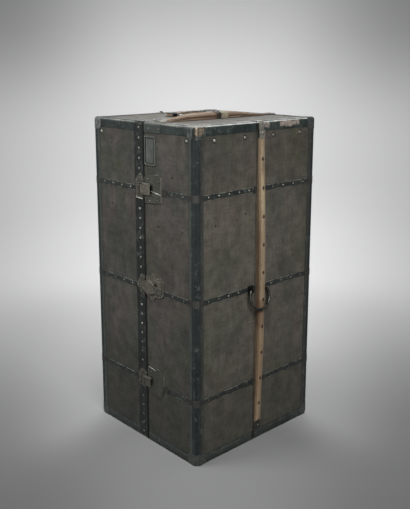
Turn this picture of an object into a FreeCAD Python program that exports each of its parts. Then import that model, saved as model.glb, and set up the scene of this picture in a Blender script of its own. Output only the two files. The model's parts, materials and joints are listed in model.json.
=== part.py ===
import FreeCAD, Part
import math

# Wardrobe trunk, standing on end, shut. Millimetres.
# The origin is the middle of its footprint, on the ground. +Z is up, -Y is the lock face and
# +X the face with the bowed wooden runner. The left half stands, and the right half swings.

Vector = FreeCAD.Vector

# The case, measured over its fibre edge bindings
width = 524.0
depth = 552.0
height = 1100.0
wall = 8.0               # plywood
edge_radius = 8.0        # rounded outer edges of the plywood
foot_radius = 10.0       # rounding of its lower corners
binding = 1.5            # thickness of the fibre bindings and bands
binding_width = 31.0
steel = 1.0              # pressed steel caps, clips and ferrules
lining = 1.0

# The seam where the halves part, and the joint line across the right half
seam_x = 14.5
side_seam_y = -12.5
seam_gap = 4.0

# Clearances
running = 0.3            # between pieces that move past each other
pin_play = 0.05          # round a pin in its hole
easy = 0.5               # under hasps and beside drawers

# Bands and rivets
band_margin = 218.0      # from each end of the case to the middle of an outer band
band_width = 17.0
rivet_pitch = 48.0
rivet_radius = 3.2
rivet_rise = 1.6
clip_reach = 14.0        # steel clip over a corner where a band crosses it, along each face
clip_height = 24.0
crossing_reach = 35.0    # the band's own end over the corner binding
cap_reach = 40.0         # corner caps
cap_ball = 50.0
cleat = (10.0, 22.0, 3.0)   # blocks on the bands beside the joint line: along, up, out

# The studded strip beside the seam
strip_width = 47.5
stud_pitch = 33.0
stud_radius = 4.6
stud_rise = 2.6
big_stud_radius = 6.0
big_stud_rise = 3.0
stud_inset = 43.0        # from the case's edges to the middle of a big stud
big_stud_pitch = 132.0

# Tongue that keeps dust out of the seam
tongue_reach = 10.0
tongue_root = 10.0
tongue_thick = 2.0

# Back hinges
hinge_margin = 130.0     # from each end of the case to the middle of an outer hinge
hinge_length = 70.0
leaf_width = 44.0
leaf_thick = 3.0
knuckle_radius = 5.0
hinge_pin_radius = 2.5
knuckles = 5
pin_head = 1.5

# Front hardware: each hasp turns on a vertical pin on the left half
plate_thick = 2.0
pivot_out = 7.0          # hasp pin's axis, out from the bindings
barrel_radius = 4.5
hasp_pin_radius = 2.0
hasp_out = 7.0           # a hasp's own thickness
hasp_wall = 2.0
keeper_wall = 4.0        # room between the keeper and the hasp's inside
keeper_inset = 9.0       # from a hasp's ends to its keeper's
plate_rivet_radius = 3.2
plate_rivet_rise = 2.0
top_plate_rivet_drop = 20.0
top_plate_rivet_insets = (23.0, 9.0)

# Their places and outlines: x from the middle of the seam, z from the middle of their band, and
# the rounding of each corner
upper_hasp_x = (-8.5, 35.5)     # pin and far end
upper_hasp_z = (-16.0, 22.0)
upper_keeper_x = (11.5, 27.5)
upper_left_outline = [(-44.5, -30, 4), (-4.5, -32, 2), (-2.5, 30, 2), (-10.5, 52, 4), (-22.5, 52, 4),
                      (-44.5, 30, 5)]
upper_right_outline = [(2.5, -44, 2), (86.5, -36, 3), (86.5, 50, 9), (60, 54, 12), (32, 50, 12), (2.5, 42, 3)]
upper_housings = [(-31.5, -16, 2, 8), (-27.5, 7, 21, 6)]     # x, low, high and radius
upper_left_rivets = [(-38.5, -25), (-38.5, 27), (-17.5, 46)]
upper_right_rivets = [(23.5, 37), (76, 33), (28, -34), (66, -30)]

lock_hasp_x = (-18.5, 47.5)
lock_hasp_z = (-5.0, 20.0)
lock_hasp_outline = [(19.5, -19), (47.5, -9), (47.5, 22), (23.5, 33)]
lock_keeper = (17.5, 35.5, 0.0, 14.0)
lock_left_outline = [(-28.5, -24, 7), (-6.5, -30, 3), (-3.5, 42, 3), (-24.5, 46, 7), (-36.5, 24, 4),
                     (-45.5, 12, 6), (-45.5, -2, 6), (-34.5, -10, 3)]
lock_right_outline = [(2.5, -22, 3), (18.5, -26, 3), (25.5, -37, 6), (39.5, -37, 6), (47.5, -24, 4),
                      (73.5, -20, 6), (91.5, -9, 7), (91.5, 38, 7), (73.5, 48, 5), (53.5, 46, 3),
                      (47.5, 59, 6), (33.5, 59, 6), (25.5, 44, 4), (2.5, 44, 3)]
lock_left_rivets = [(-39.5, 5), (-23.5, -17), (-22.5, 38)]
lock_right_rivets = [(32.5, -30), (40.5, 52), (66, 43.4), (81.5, -14)]
case_out = 8.0
case_outline = [(49.5, 11.3), (85.5, 11.3), (83.5, 32), (73.5, 40), (49.5, 38)]
plug_place = (61.5, 24.0)
plug_radius = 6.0
keyhole_radius = 1.6
keyhole_slot = (1.6, 3.6, 1.5)     # wide, down and up
thumb_outline = [(50.5, -9, 2), (83.5, -7, 4), (83.5, 9, 4), (50.5, 11, 2)]
thumb_thin = 2.2                   # thickness at its far end

lower_hasp_x = (-14.5, 23.5)
lower_hasp_z = (-17.0, 18.0)
lower_keeper_x = (5.5, 16.5)
lower_left_outline = [(-46.5, -22, 6), (-5.5, -30, 3), (-3.5, 30, 3), (-24.5, 40, 5), (-46.5, 22, 8)]
lower_right_outline = [(2.5, -30, 2), (66, -40, 10), (76, -36, 6), (89.5, 8, 16), (89.5, 42, 14), (60, 60, 14),
                       (2.5, 50, 3)]
lower_housing = (-32.5, -12, 13, 7)
lower_left_rivets = [(-38.5, -16), (-36.5, 28), (-16.5, 34)]
lower_right_rivets = [(24, 42), (76, 42), (80, 8), (66, -28), (12, -20)]

# Label holder
label_start = 4.5        # from the middle of the seam
label_wide = 53.0
label_high = 93.0
label_drop = 44.0        # from the top of the case
label_border = 7.0
label_out = 3.5

# Wooden runners
runner_width = 30.0
runner_y = 6.1           # middle of the side runners
runner_foot = 42.0       # from the ground to a side runner
runner_head = 28.0       # from a side runner to the top of the case
runner_end_rise = 4.0
runner_bow = 16.5
top_runner_x = 74.0
top_runner_width = 32.0
top_runner_inset = 12.0
top_bow = [(0.0, 3.4), (0.14, 13.0), (0.26, 20.0), (0.42, 22.3), (0.52, 22.3), (0.66, 18.0), (0.83, 8.0),
           (1.0, 3.4)]     # share of its length, and rise there
crown = 7.0
runner_steps = 24
nail_radius = 3.6
nail_sink = 1.6
nail_rise = 2.4
nail_pitch = 94.0
ferrule = 11.0
nose_reach = 17.0
nail_margin = 30.0       # from a side runner's ends to the stretch with its nails
nose_point = 12.0

# Bails on the sides
bail_radius = 45.0
bail_rod = 5.0
bail_y = -6.0            # middle of the bails
bail_drop = 24.0         # from the pivots down to the ring's middle
bail_below = 3.0         # from the middle band down to the pivots
bail_pivot_out = 11.0
stub_radius = 3.5
lug_thick = 5.0
lug_radius = 6.0
lug_plate = (30.0, 22.0, 3.0)   # up, along, out

# Inside the left half
cabinet_wall = 8.0
shelf_drop = 167.0              # from the top of the case to the shelf
runner_strip = (8.0, 6.0)       # out, high
drawer_count = 4
tall_drawer = 270.0
drawer_board = 8.0
drawer_front = 10.0
drawer_base = 4.0
drawer_setback = 16.0           # behind the half's open edge
drawer_back_gap = 4.0
pull_reach = 11.0
pull_span = 70.0
pull_rod = 3.0
pull_post = 2.5
pull_post_inset = 8.0

# Inside the right half
channel = (32.0, 14.0, 2.0)     # wide, high, wall
channel_slot = 14.0
channel_end_gap = 2.0           # from its far end to the side panel
channel_inset = 2.0             # from the tongue
rod_radius = 5.0
rod_drop = 48.0                 # from the top of the case to the rod
trolley_inset = 8.0             # from the channel's near end, shut
trolley_end_gap = 18.0          # from the channel's far end
post = 8.0
hanger_count = 4
hanger_pitch = 40.0
hanger_thick = 12.0
hanger_span = 420.0
hanger_drop = 22.0              # from the rod down to a hanger's top
hanger_sag = 62.0
hanger_height = 20.0
hook_wire = 1.6

# Flat leather handle on the top of the left half
handle_x = -92.0
handle_length = 156.0
handle_width = 28.0
handle_thick = 7.0
handle_arch = 6.0
bracket_length = 24.0
bracket_thick = 3.0
bracket_foot = 10.0

# Derived planes
face_x = width / 2
face_y = depth / 2
ply_x = face_x - binding
ply_y = face_y - binding
ply_z = height - binding
room_x = ply_x - wall
room_y = ply_y - wall
room_z = ply_z - wall
floor_z = wall
left_edge = seam_x - seam_gap / 2
right_edge = seam_x + seam_gap / 2
front_edge = side_seam_y - seam_gap / 2
rear_edge = side_seam_y + seam_gap / 2
strip_x = left_edge - strip_width
band_heights = [band_margin, height / 2, height - band_margin]
lower_band, lock_band, upper_band = band_heights
hinge_heights = [hinge_margin, height / 2, height - hinge_margin]
runner_low = runner_foot
runner_high = height - runner_head
bail_pivot_z = lock_band - bail_below
shelf_top = height - shelf_drop
rod_z = height - rod_drop
hanger_top = rod_z - hanger_drop
far = 2 * (width + depth + height)
everywhere = (-far, far)
front = Vector(0, -1, 0)
back = Vector(0, 1, 0)
up = Vector(0, 0, 1)
right = Vector(1, 0, 0)


def box(x, y, z):
    size = [max(pair) - min(pair) for pair in (x, y, z)]
    return Part.makeBox(*size, Vector(min(x), min(y), min(z)))


def fuse(shapes):
    return shapes[0] if len(shapes) == 1 else shapes[0].fuse(shapes[1:]).removeSplitter()


def mirrored(shape):
    return shape.mirror(Vector(), Vector(1, 0, 0))


def save(name, *shapes):
    solids = [solid for shape in shapes for solid in shape.Solids]
    result = solids[0] if len(solids) == 1 else Part.makeCompound(solids)
    result.exportStep("parts/" + name + ".step")
    print(name, len(solids), "valid" if result.isValid() else "NOT VALID", round(result.Volume / 1000, 1))


def spread(start, end, pitch):
    """Evenly spaced places between two ends, half a space in from each."""
    count = max(1, round((end - start) / pitch))
    step = (end - start) / count
    return [start + step * (index + 0.5) for index in range(count)]


def outline(corners, y0, y1):
    """A plate or block in XZ, each corner given as x, z and its rounding."""
    points = [Vector(x, y0, z) for x, z, _ in corners]
    solid = Part.Face(Part.makePolygon(points + points[:1])).extrude(Vector(0, y1 - y0, 0))
    for x, z, radius in corners:
        if radius > 0:
            near = [edge for edge in solid.Edges if abs(edge.CenterOfMass.x - x) < 0.01
                    and abs(edge.CenterOfMass.z - z) < 0.01]
            solid = solid.makeFillet(radius, near)
    return solid


def chamfer_front(solid, size):
    """Bevels the edges of the face that lies furthest out."""
    outside = solid.BoundBox.YMin
    bevelled = [edge for edge in solid.Edges if edge.BoundBox.YMax < outside + 0.01]
    return solid.makeChamfer(size, bevelled)


def dome(base, out, radius, rise):
    """A domed head that stands on a point, facing out."""
    ball = (radius ** 2 + rise ** 2) / (2 * rise)
    low = math.degrees(math.asin((ball - rise) / ball))
    return Part.makeSphere(ball, base - out * (ball - rise), out, low, 90, 360)


def upright(x, y, z0, z1, radius):
    return Part.makeCylinder(radius, z1 - z0, Vector(x, y, z0))


# ---------------------------------------------------------------- plywood shells
def rounded_case(grow):
    """The case's outside, grown outwards from the plywood. It is flat underneath."""
    solid = box((-ply_x - grow, ply_x + grow), (-ply_y - grow, ply_y + grow), (0, ply_z + grow))
    solid = solid.makeFillet(edge_radius + grow, [edge for edge in solid.Edges if edge.CenterOfMass.z > 1])
    foot_z = foot_radius - 1
    for side in (-1, 1):
        for end in (-1, 1):
            middle = Vector(side * (ply_x - foot_radius), end * (ply_y - foot_radius), foot_z)
            corner = box((middle.x, side * far), (middle.y, end * far), (-1, foot_z))
            solid = solid.cut(corner.cut(Part.makeSphere(foot_radius + grow, middle)))
    return solid


plywood = rounded_case(0)
bound = rounded_case(binding)
capped = rounded_case(binding + steel)
walls = plywood.cut(box((-room_x, room_x), (-room_y, room_y), (floor_z, room_z)))
binding_shell = bound.cut(plywood)
cap_shell = capped.cut(bound)

left_space = box((-far, left_edge), everywhere, everywhere)
right_space = box((right_edge, far), everywhere, everywhere).cut(box((0, far), (front_edge, rear_edge), everywhere))


def wall_piece(x, y, z):
    return walls.common(box(x, y, z))


room_depth = (-room_y, room_y)
front_wall = (-far, -room_y)
back_wall = (room_y, far)
top_wall = (room_z, far)
bottom_wall = (-1, floor_z)
left_span = (-room_x, left_edge)
right_span = (right_edge, room_x)

save("left_side_panel", wall_piece((-far, -room_x), everywhere, everywhere))
save("left_front_panel", wall_piece(left_span, front_wall, everywhere))
save("left_back_panel", wall_piece(left_span, back_wall, everywhere))
save("left_top_panel", wall_piece(left_span, room_depth, top_wall))
save("left_bottom_panel", wall_piece(left_span, room_depth, bottom_wall))
save("right_side_panel_front", wall_piece((room_x, far), (-far, front_edge), everywhere))
save("right_side_panel_rear", wall_piece((room_x, far), (rear_edge, far), everywhere))
save("right_front_panel", wall_piece(right_span, front_wall, everywhere))
save("right_back_panel", wall_piece(right_span, back_wall, everywhere))
save("right_top_panels", wall_piece(right_span, (-room_y, front_edge), top_wall),
     wall_piece(right_span, (rear_edge, room_y), top_wall))
save("right_bottom_panels", wall_piece(right_span, (-room_y, front_edge), bottom_wall),
     wall_piece(right_span, (rear_edge, room_y), bottom_wall))


# ---------------------------------------------------------------- fittings on the lock face
def hasp(axis_x, corners, keeper):
    """A hasp shut over its keeper, open towards +X inside, with a stub of pin at each end."""
    axis_y = -face_y - pivot_out
    inner = -face_y - plate_thick - easy
    outer = inner - hasp_out
    body = chamfer_front(outline(corners, inner, outer), 1.8)
    end = max(x for x, _, _ in corners)
    pocket = box((keeper[0] - 2 * keeper_wall, end + 1), (inner + 1, outer + hasp_wall),
                 (keeper[2] - keeper_wall, keeper[3] + keeper_wall))
    root_low = corners[0][1] + barrel_radius
    root_high = corners[-1][1] - barrel_radius
    middle = upright(axis_x, axis_y, root_low, root_high, barrel_radius)
    web = box((axis_x, axis_x + barrel_radius + 3), (axis_y - barrel_radius, inner - running), (root_low, root_high))
    pin = upright(axis_x, axis_y, corners[0][1] - 1, corners[-1][1] + 1, hasp_pin_radius)
    return body.cut(pocket).fuse([middle, web, pin]).removeSplitter()


def hasp_plate(axis_x, corners, low, high):
    """The left plate of a hasp, with the two knuckles that its pin turns in."""
    axis_y = -face_y - pivot_out
    plate = outline(corners, -face_y, -face_y - plate_thick)
    pieces = [plate]
    holes = []
    for z0, z1 in ((low, low + barrel_radius - running), (high - barrel_radius + running, high)):
        pieces.append(upright(axis_x, axis_y, z0, z1, barrel_radius))
        pieces.append(box((axis_x - barrel_radius, axis_x), (axis_y, -face_y), (z0, z1)))
        holes.append(upright(axis_x, axis_y, z0 - 2, z1 + 2, hasp_pin_radius + pin_play))
    return fuse(pieces).cut(holes)


def half_round(x, z0, z1, radius):
    """A half-round housing lying up the left plate."""
    ground = -face_y - plate_thick
    return upright(x, ground, z0, z1, radius).common(box(everywhere, (-far, ground), everywhere))


plate_front = -face_y - plate_thick
keeper_front = plate_front - hasp_out + hasp_wall + easy


def placed(outline_points, band):
    """An outline given from the seam and a band, in the case's own place."""
    return [(seam_x + x, band + z, rounding) for x, z, rounding in outline_points]


def plain_hasp(reach, span, keeper_x, band):
    """A hasp with a straight body: its pin's place, its ends, its corners and its keeper."""
    axis = seam_x + reach[0]
    low, high = band + span[0], band + span[1]
    root, end = axis + barrel_radius + easy, seam_x + reach[1]
    corners = [(root, low, 0), (end, low, 3), (end, high, 3), (root, high, 0)]
    keeper = (seam_x + keeper_x[0], seam_x + keeper_x[1], low + keeper_inset, high - keeper_inset)
    return axis, low, high, corners, keeper


def keeper_block(keeper):
    return box(keeper[:2], (plate_front, keeper_front), keeper[2:])


def catch_plate(corners, band):
    return outline(placed(corners, band), -ply_y, plate_front)


def housing(place, band):
    x, low, high, radius = place
    return half_round(seam_x + x, band + low, band + high, radius)


# Upper hasp
upper_axis, upper_low, upper_high, upper_corners, upper_keeper = plain_hasp(
    upper_hasp_x, upper_hasp_z, upper_keeper_x, upper_band)
upper_hasp = hasp(upper_axis, upper_corners, upper_keeper)
upper_plate = hasp_plate(upper_axis, placed(upper_left_outline, upper_band), upper_low, upper_high)
upper_plate = fuse([upper_plate] + [housing(place, upper_band) for place in upper_housings])
upper_catch = catch_plate(upper_right_outline, upper_band)

# Middle hasp and the lock
lock_axis = seam_x + lock_hasp_x[0]
lock_low, lock_high = lock_band + lock_hasp_z[0], lock_band + lock_hasp_z[1]
lock_root = lock_axis + barrel_radius + easy
lock_corners = ([(lock_root, lock_low, 0)] + [(seam_x + x, lock_band + z, 0) for x, z in lock_hasp_outline]
                + [(lock_root, lock_high, 0)])
lock_keeper_place = (seam_x + lock_keeper[0], seam_x + lock_keeper[1], lock_band + lock_keeper[2],
                     lock_band + lock_keeper[3])
lock_hasp = hasp(lock_axis, lock_corners, lock_keeper_place)
lock_left_plate = hasp_plate(lock_axis, placed(lock_left_outline, lock_band), lock_low, lock_high)
lock_plate = catch_plate(lock_right_outline, lock_band)
plug_x, plug_z = seam_x + plug_place[0], lock_band + plug_place[1]
case_corners = [(seam_x + x, lock_band + z, 0) for x, z in case_outline]
lock_case = chamfer_front(outline(case_corners, plate_front, plate_front - case_out), 1.5)
bore = Part.makeCylinder(plug_radius + pin_play, case_out + 2, Vector(plug_x, plate_front + 1, plug_z), front)
lock_case = lock_case.cut(bore)
plug = Part.makeCylinder(plug_radius, case_out - running + 1, Vector(plug_x, plate_front - running, plug_z), front)
plug_front = plate_front - case_out - 1
slot_wide, slot_down, slot_up = keyhole_slot
keyhole = fuse([Part.makeCylinder(keyhole_radius, 5, Vector(plug_x, plug_front - 1, plug_z + slot_up), back),
                box((plug_x - slot_wide / 2, plug_x + slot_wide / 2), (plug_front - 1, plug_front + 4),
                    (plug_z - slot_down, plug_z + slot_up))])
lock_plug = plug.cut(keyhole)
thumb = outline(placed(thumb_outline, lock_band), plate_front - running, plate_front - case_out)
thumb_start, thumb_end = seam_x + lock_hasp_x[1], seam_x + lock_right_outline[6][0] + 4
slope_points = [Vector(thumb_start, plate_front - case_out - 1, 0), Vector(thumb_end, plate_front - thumb_thin, 0),
                Vector(thumb_end, plate_front - 3 * case_out, 0), Vector(thumb_start, plate_front - 3 * case_out, 0)]
slope = Part.Face(Part.makePolygon(slope_points + slope_points[:1])).extrude(Vector(0, 0, far))
lock_catch = thumb.cut(slope)

# Lower hasp
lower_axis, lower_low, lower_high, lower_corners, lower_keeper = plain_hasp(
    lower_hasp_x, lower_hasp_z, lower_keeper_x, lower_band)
lower_hasp = hasp(lower_axis, lower_corners, lower_keeper)
lower_plate = hasp_plate(lower_axis, placed(lower_left_outline, lower_band), lower_low, lower_high)
lower_plate = fuse([lower_plate, housing(lower_housing, lower_band)])
lower_catch = catch_plate(lower_right_outline, lower_band)

save("hasp_plates", upper_plate, lock_left_plate, lower_plate)
save("upper_hasp", upper_hasp)
save("lock_hasp", lock_hasp)
save("lower_hasp", lower_hasp)
save("upper_catch_plate", upper_catch, keeper_block(upper_keeper))
save("lower_catch_plate", lower_catch, keeper_block(lower_keeper))
save("lock_plate", lock_plate, keeper_block(lock_keeper_place))
save("lock_case", lock_case)
save("lock_plug", lock_plug)
save("lock_thumb_catch", lock_catch)

# Label holder, open for a plain card
label_x = (seam_x + label_start, seam_x + label_start + label_wide)
label_z = (height - label_drop - label_high, height - label_drop)
label_frame = outline([(label_x[0], label_z[0], 3), (label_x[1], label_z[0], 3), (label_x[1], label_z[1], 3),
                       (label_x[0], label_z[1], 3)], -ply_y, -ply_y - label_out)
window = box((label_x[0] + label_border, label_x[1] - label_border), (-far, -ply_y - steel),
             (label_z[0] + label_border, label_z[1] - label_border))
save("label_holder", label_frame.cut(window))


# ---------------------------------------------------------------- back hinges
hinge_y = face_y + knuckle_radius + running


def hinge_leaf(side, low):
    """One leaf with its own knuckles: side -1 is the left half's, +1 the right half's."""
    edge = seam_x + side * seam_gap / 2
    plate = box((edge, edge + side * leaf_width), (ply_y, ply_y + leaf_thick), (low, low + hinge_length))
    step = hinge_length / knuckles
    own, others = [], []
    for index in range(knuckles):
        z0, z1 = low + step * index, low + step * (index + 1)
        if (index % 2 == 0) == (side < 0):
            inset = running / 2
            own.append(upright(seam_x, hinge_y, z0 + inset, z1 - inset, knuckle_radius))
            own.append(box((seam_x, seam_x + side * knuckle_radius), (ply_y, hinge_y), (z0 + inset, z1 - inset)))
        else:
            others.append(upright(seam_x, hinge_y, z0 - running / 2, z1 + running / 2, knuckle_radius + running))
    hole = upright(seam_x, hinge_y, low - 1, low + hinge_length + 1, hinge_pin_radius + pin_play)
    return fuse([plate.cut(others)] + own).cut(hole)


def hinge_pin(low):
    ends = [upright(seam_x, hinge_y, low - pin_head, low, hinge_pin_radius + 1.5),
            upright(seam_x, hinge_y, low + hinge_length, low + hinge_length + pin_head, hinge_pin_radius + 1.5)]
    return fuse([upright(seam_x, hinge_y, low, low + hinge_length, hinge_pin_radius)] + ends)


hinge_lows = [middle - hinge_length / 2 for middle in hinge_heights]
left_leaves = [hinge_leaf(-1, low) for low in hinge_lows]
right_leaves = [hinge_leaf(1, low) for low in hinge_lows]
save("left_hinge_leaves", *left_leaves)
save("right_hinge_leaves", *right_leaves)
save("hinge_pins", *[hinge_pin(low) for low in hinge_lows])


# ---------------------------------------------------------------- bails
stub_gap = math.sqrt(bail_radius ** 2 - bail_drop ** 2)
lug_outer = stub_gap - bail_rod - easy       # the eyes stand inside the ring's ends
lug_inner = lug_outer - lug_thick
bail_pivot = Vector(face_x + bail_pivot_out, bail_y, bail_pivot_z)
runner_middle = (runner_low + runner_high) / 2


def runner_rise(z):
    share = min(1, abs(z - runner_middle) / (runner_high - runner_middle))
    return runner_end_rise + runner_bow * (1 - share ** 2)


crest_out = runner_end_rise + runner_bow + bail_rod + easy - bail_pivot_out
bail_tilt = math.degrees(math.asin(crest_out / (bail_drop + bail_radius)))


def bail():
    opening = math.degrees(math.asin(stub_gap / bail_radius))
    ring = Part.makeTorus(bail_radius, bail_rod, Vector(), Vector(0, 0, 1), 0, 360, 360 - 2 * opening)
    ring.rotate(Vector(), Vector(0, 0, 1), 90 + opening)
    ring.rotate(Vector(), Vector(1, 1, 1), 120)
    ring.translate(Vector(0, 0, -bail_drop))
    pieces = [ring]
    for side in (-1, 1):
        pieces.append(Part.makeSphere(bail_rod, Vector(0, side * stub_gap, 0)))
        pieces.append(Part.makeCylinder(stub_radius, stub_gap - lug_inner - running, Vector(0, side * stub_gap, 0),
                                        Vector(0, -side, 0)))
    shape = pieces[0].fuse(pieces[1:])
    shape.rotate(Vector(), Vector(0, 1, 0), -bail_tilt)
    shape.translate(bail_pivot)
    return shape


def bail_eye(side):
    y0, y1 = bail_y + side * lug_inner, bail_y + side * lug_outer
    middle = (y0 + y1) / 2
    runner_side = runner_y + side * (runner_width / 2 + easy)
    inner_end = side * max(side * middle - lug_plate[1] / 2, side * runner_side)
    plate = box((ply_x, ply_x + lug_plate[2]), (inner_end, middle + side * lug_plate[1] / 2),
                (bail_pivot_z - lug_plate[0] / 2, bail_pivot_z + lug_plate[0] / 2))
    lug = box((ply_x, bail_pivot.x), (y0, y1), (bail_pivot_z - lug_radius, bail_pivot_z + lug_radius))
    ear = Part.makeCylinder(lug_radius, lug_thick, Vector(bail_pivot.x, min(y0, y1), bail_pivot_z), Vector(0, 1, 0))
    hole = Part.makeCylinder(stub_radius + pin_play, lug_thick + 2,
                             Vector(bail_pivot.x, min(y0, y1) - 1, bail_pivot_z),
                             back)
    return fuse([plate, lug, ear]).cut(hole)


right_bail = bail()
right_eyes = [bail_eye(side) for side in (-1, 1)]
left_eyes = [mirrored(eye) for eye in right_eyes]
save("right_bail", right_bail)
save("left_bail", mirrored(right_bail))
save("right_bail_eyes", *right_eyes)
save("left_bail_eyes", *left_eyes)


# ---------------------------------------------------------------- wooden runners
def runner_body(place, rise, start, end, half_width, extra=0.0):
    """A D-section bar through even stations, its height given by rise and a sheath's extra."""
    sections = []
    for index in range(runner_steps + 1):
        along = start + (end - start) * index / runner_steps
        top_out = rise(along) + extra
        shoulder = top_out - min(crown, 0.6 * top_out)
        low, high, top = place(along, -half_width, 0), place(along, half_width, 0), place(along, 0, top_out)
        left, right = place(along, -half_width, shoulder), place(along, half_width, shoulder)
        sections.append(Part.Wire([Part.makeLine(low, high), Part.makeLine(high, right),
                                   Part.Arc(right, top, left).toShape(), Part.makeLine(left, low)]))
    return Part.makeLoft(sections, True, True)


def sheath(place, rise, start, end, half_width, wood):
    """Pressed steel wrapped over a stretch of a runner."""
    return runner_body(place, rise, start, end, half_width + steel, steel).cut(wood)


def nose_zone(place, end, inward):
    """The pointed outline of the steel nose on a runner's end."""
    half = runner_width
    tip = end + inward * nose_reach
    back = end - inward * 5
    flat = [(back, -half), (tip, -half), (tip + inward * nose_point, 0), (tip, half), (back, half)]
    points = [place(along, across, -1) for along, across in flat]
    lift = place(0, 0, 60) - place(0, 0, 0)
    return Part.Face(Part.makePolygon(points + points[:1])).extrude(lift)


def nose(place, rise, end, inward, half_width, wood):
    """The pointed steel nose that closes over a runner's end."""
    whole = sheath(place, rise, end - inward * steel, end + inward * (nose_reach + nose_point + 1), half_width, wood)
    return whole.common(nose_zone(place, end, inward))


def side_place(along, across, out):
    return Vector(face_x + out, runner_y + across, along)


def top_place(along, across, out):
    return Vector(top_runner_x + across, along, height + out)


def nail_in(place, along, rise):
    """The hole that a nail's head sits in, and the head."""
    seat = place(along, 0, rise - nail_sink)
    out = (place(0, 0, 1) - place(0, 0, 0))
    hole = Part.makeCylinder(nail_radius + 0.2, nail_sink + 5, seat, out)
    return hole, dome(seat, out, nail_radius, nail_rise)


side_half = runner_width / 2
side_wood = runner_body(side_place, runner_rise, runner_low, runner_high, side_half)
side_noses = [nose(side_place, runner_rise, runner_low, 1, side_half, side_wood),
              nose(side_place, runner_rise, runner_high, -1, side_half, side_wood)]
side_runner = side_wood
nails = []
nail_count = int((runner_high - runner_low - 2 * nail_margin) / nail_pitch)
first_nail = runner_middle - nail_pitch * (nail_count - 1) / 2
for index in range(nail_count):
    z = first_nail + nail_pitch * index
    hole, nail = nail_in(side_place, z, runner_rise(z))
    side_runner = side_runner.cut(hole)
    nails.append(nail)
for z in (runner_low + nose_reach / 2, runner_high - nose_reach / 2):
    nails.append(dome(side_place(z, 0, runner_rise(z) + steel), right, nail_radius, nail_rise).cut(side_noses))
over_edge = cap_shell.common(box((face_x - 22, far), (runner_y - 11, runner_y + 11),
                                 (runner_high + 2 * steel, far)))
side_fittings = side_noses + [over_edge]

top_start = -face_y + top_runner_inset
top_end = face_y - top_runner_inset
top_half = top_runner_width / 2


def top_rise(y):
    """A smooth curve through the bow's own points."""
    share = min(1.0, max(0.0, (y - top_start) / (top_end - top_start)))
    index = max(i for i in range(len(top_bow) - 1) if top_bow[i][0] <= share)
    before, here = top_bow[max(0, index - 1)], top_bow[index]
    there, after = top_bow[index + 1], top_bow[min(len(top_bow) - 1, index + 2)]
    length = there[0] - here[0]
    t = (share - here[0]) / length
    slope_here = (there[1] - before[1]) / (there[0] - before[0]) * length
    slope_there = (after[1] - here[1]) / (after[0] - here[0]) * length
    return ((2 * t ** 3 - 3 * t ** 2 + 1) * here[1] + (t ** 3 - 2 * t ** 2 + t) * slope_here
            + (3 * t ** 2 - 2 * t ** 3) * there[1] + (t ** 3 - t ** 2) * slope_there)


top_runner = runner_body(top_place, top_rise, top_start, top_end, top_half)
top_fittings = [nose(top_place, top_rise, top_start, 1, top_half, top_runner),
                nose(top_place, top_rise, top_end, -1, top_half, top_runner),
                sheath(top_place, top_rise, front_edge - ferrule, front_edge, top_half, top_runner),
                sheath(top_place, top_rise, rear_edge, rear_edge + ferrule, top_half, top_runner)]
top_runners = [top_runner.common(box(everywhere, (-far, front_edge), everywhere)),
               top_runner.common(box(everywhere, (rear_edge, far), everywhere))]
for y in (top_start + nose_reach / 2, top_end - nose_reach / 2):
    nails.append(dome(top_place(y, 0, top_rise(y) + steel), up, nail_radius - 1, nail_rise - 1).cut(top_fittings))

top_plate_x = (right_edge + 0.5, 99.0)
top_plate_z = height - 33.0
top_plate = cap_shell.common(box(top_plate_x, (-far, top_start - 3 * steel), (top_plate_z, far)))

save("right_side_runner", side_runner)
save("left_side_runner", mirrored(side_runner))
save("top_runner", *top_runners)
save("runner_fittings", top_plate, *side_fittings, *top_fittings)
save("left_runner_fittings", *[mirrored(piece) for piece in side_fittings])


# ---------------------------------------------------------------- bindings, bands and steel trim
def edge_zones():
    zones = []
    for side in (-1, 1):
        x = (side * face_x, side * (face_x - binding_width))
        y = (side * face_y, side * (face_y - binding_width))
        zones.append(box(x, (face_y, face_y - binding_width), (0, height)))
        zones.append(box(x, (-face_y, binding_width - face_y), (0, height)))
        for z in ((0, binding_width), (height - binding_width, height)):
            zones.append(box((-face_x, face_x), y, z))
            zones.append(box(x, (-face_y, face_y), z))
    return fuse(zones)


edges = edge_zones()
strip_zone = box((strip_x, left_edge), (-far, face_y - binding_width), (-1, far))
band_slabs = fuse([box(everywhere, everywhere, (z - band_width / 2, z + band_width / 2)) for z in band_heights])
bindings = binding_shell.common(edges)
bands = binding_shell.common(band_slabs).cut(edges)
left_flush = left_leaves + left_eyes
right_flush = [upper_catch, lower_catch, lock_plate] + right_leaves + right_eyes
save("left_edge_bindings", bindings.cut(strip_zone).common(left_space))
save("right_edge_bindings", bindings.common(right_space))
save("left_bands", bands.cut(strip_zone).common(left_space).cut(left_flush))
save("right_bands", bands.common(right_space).cut(right_flush))
save("seam_strip", binding_shell.common(strip_zone))


def corner_caps(side):
    """The caps and the clips over the bands' ends on one side's four upright edges."""
    pieces = []
    for end in (-1, 1):
        for z, up in ((0, 1), (height, -1)):
            corner = Vector(side * face_x, end * face_y, z)
            zone = box((corner.x + side * 3, corner.x - side * cap_reach),
                       (corner.y + end * 3, corner.y - end * cap_reach), (z - up * 3, z + up * cap_reach))
            pieces.append(cap_shell.common(zone).common(Part.makeSphere(cap_ball, corner)))
        for z in band_heights:
            zones = [box((side * (face_x + 3), side * (face_x - reach)),
                         (end * (face_y + 3), end * (face_y - reach)), (z - high / 2, z + high / 2))
                     for reach, high in ((clip_reach, clip_height), (crossing_reach, band_width))]
            pieces.append(cap_shell.common(fuse(zones)))
    return pieces


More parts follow.
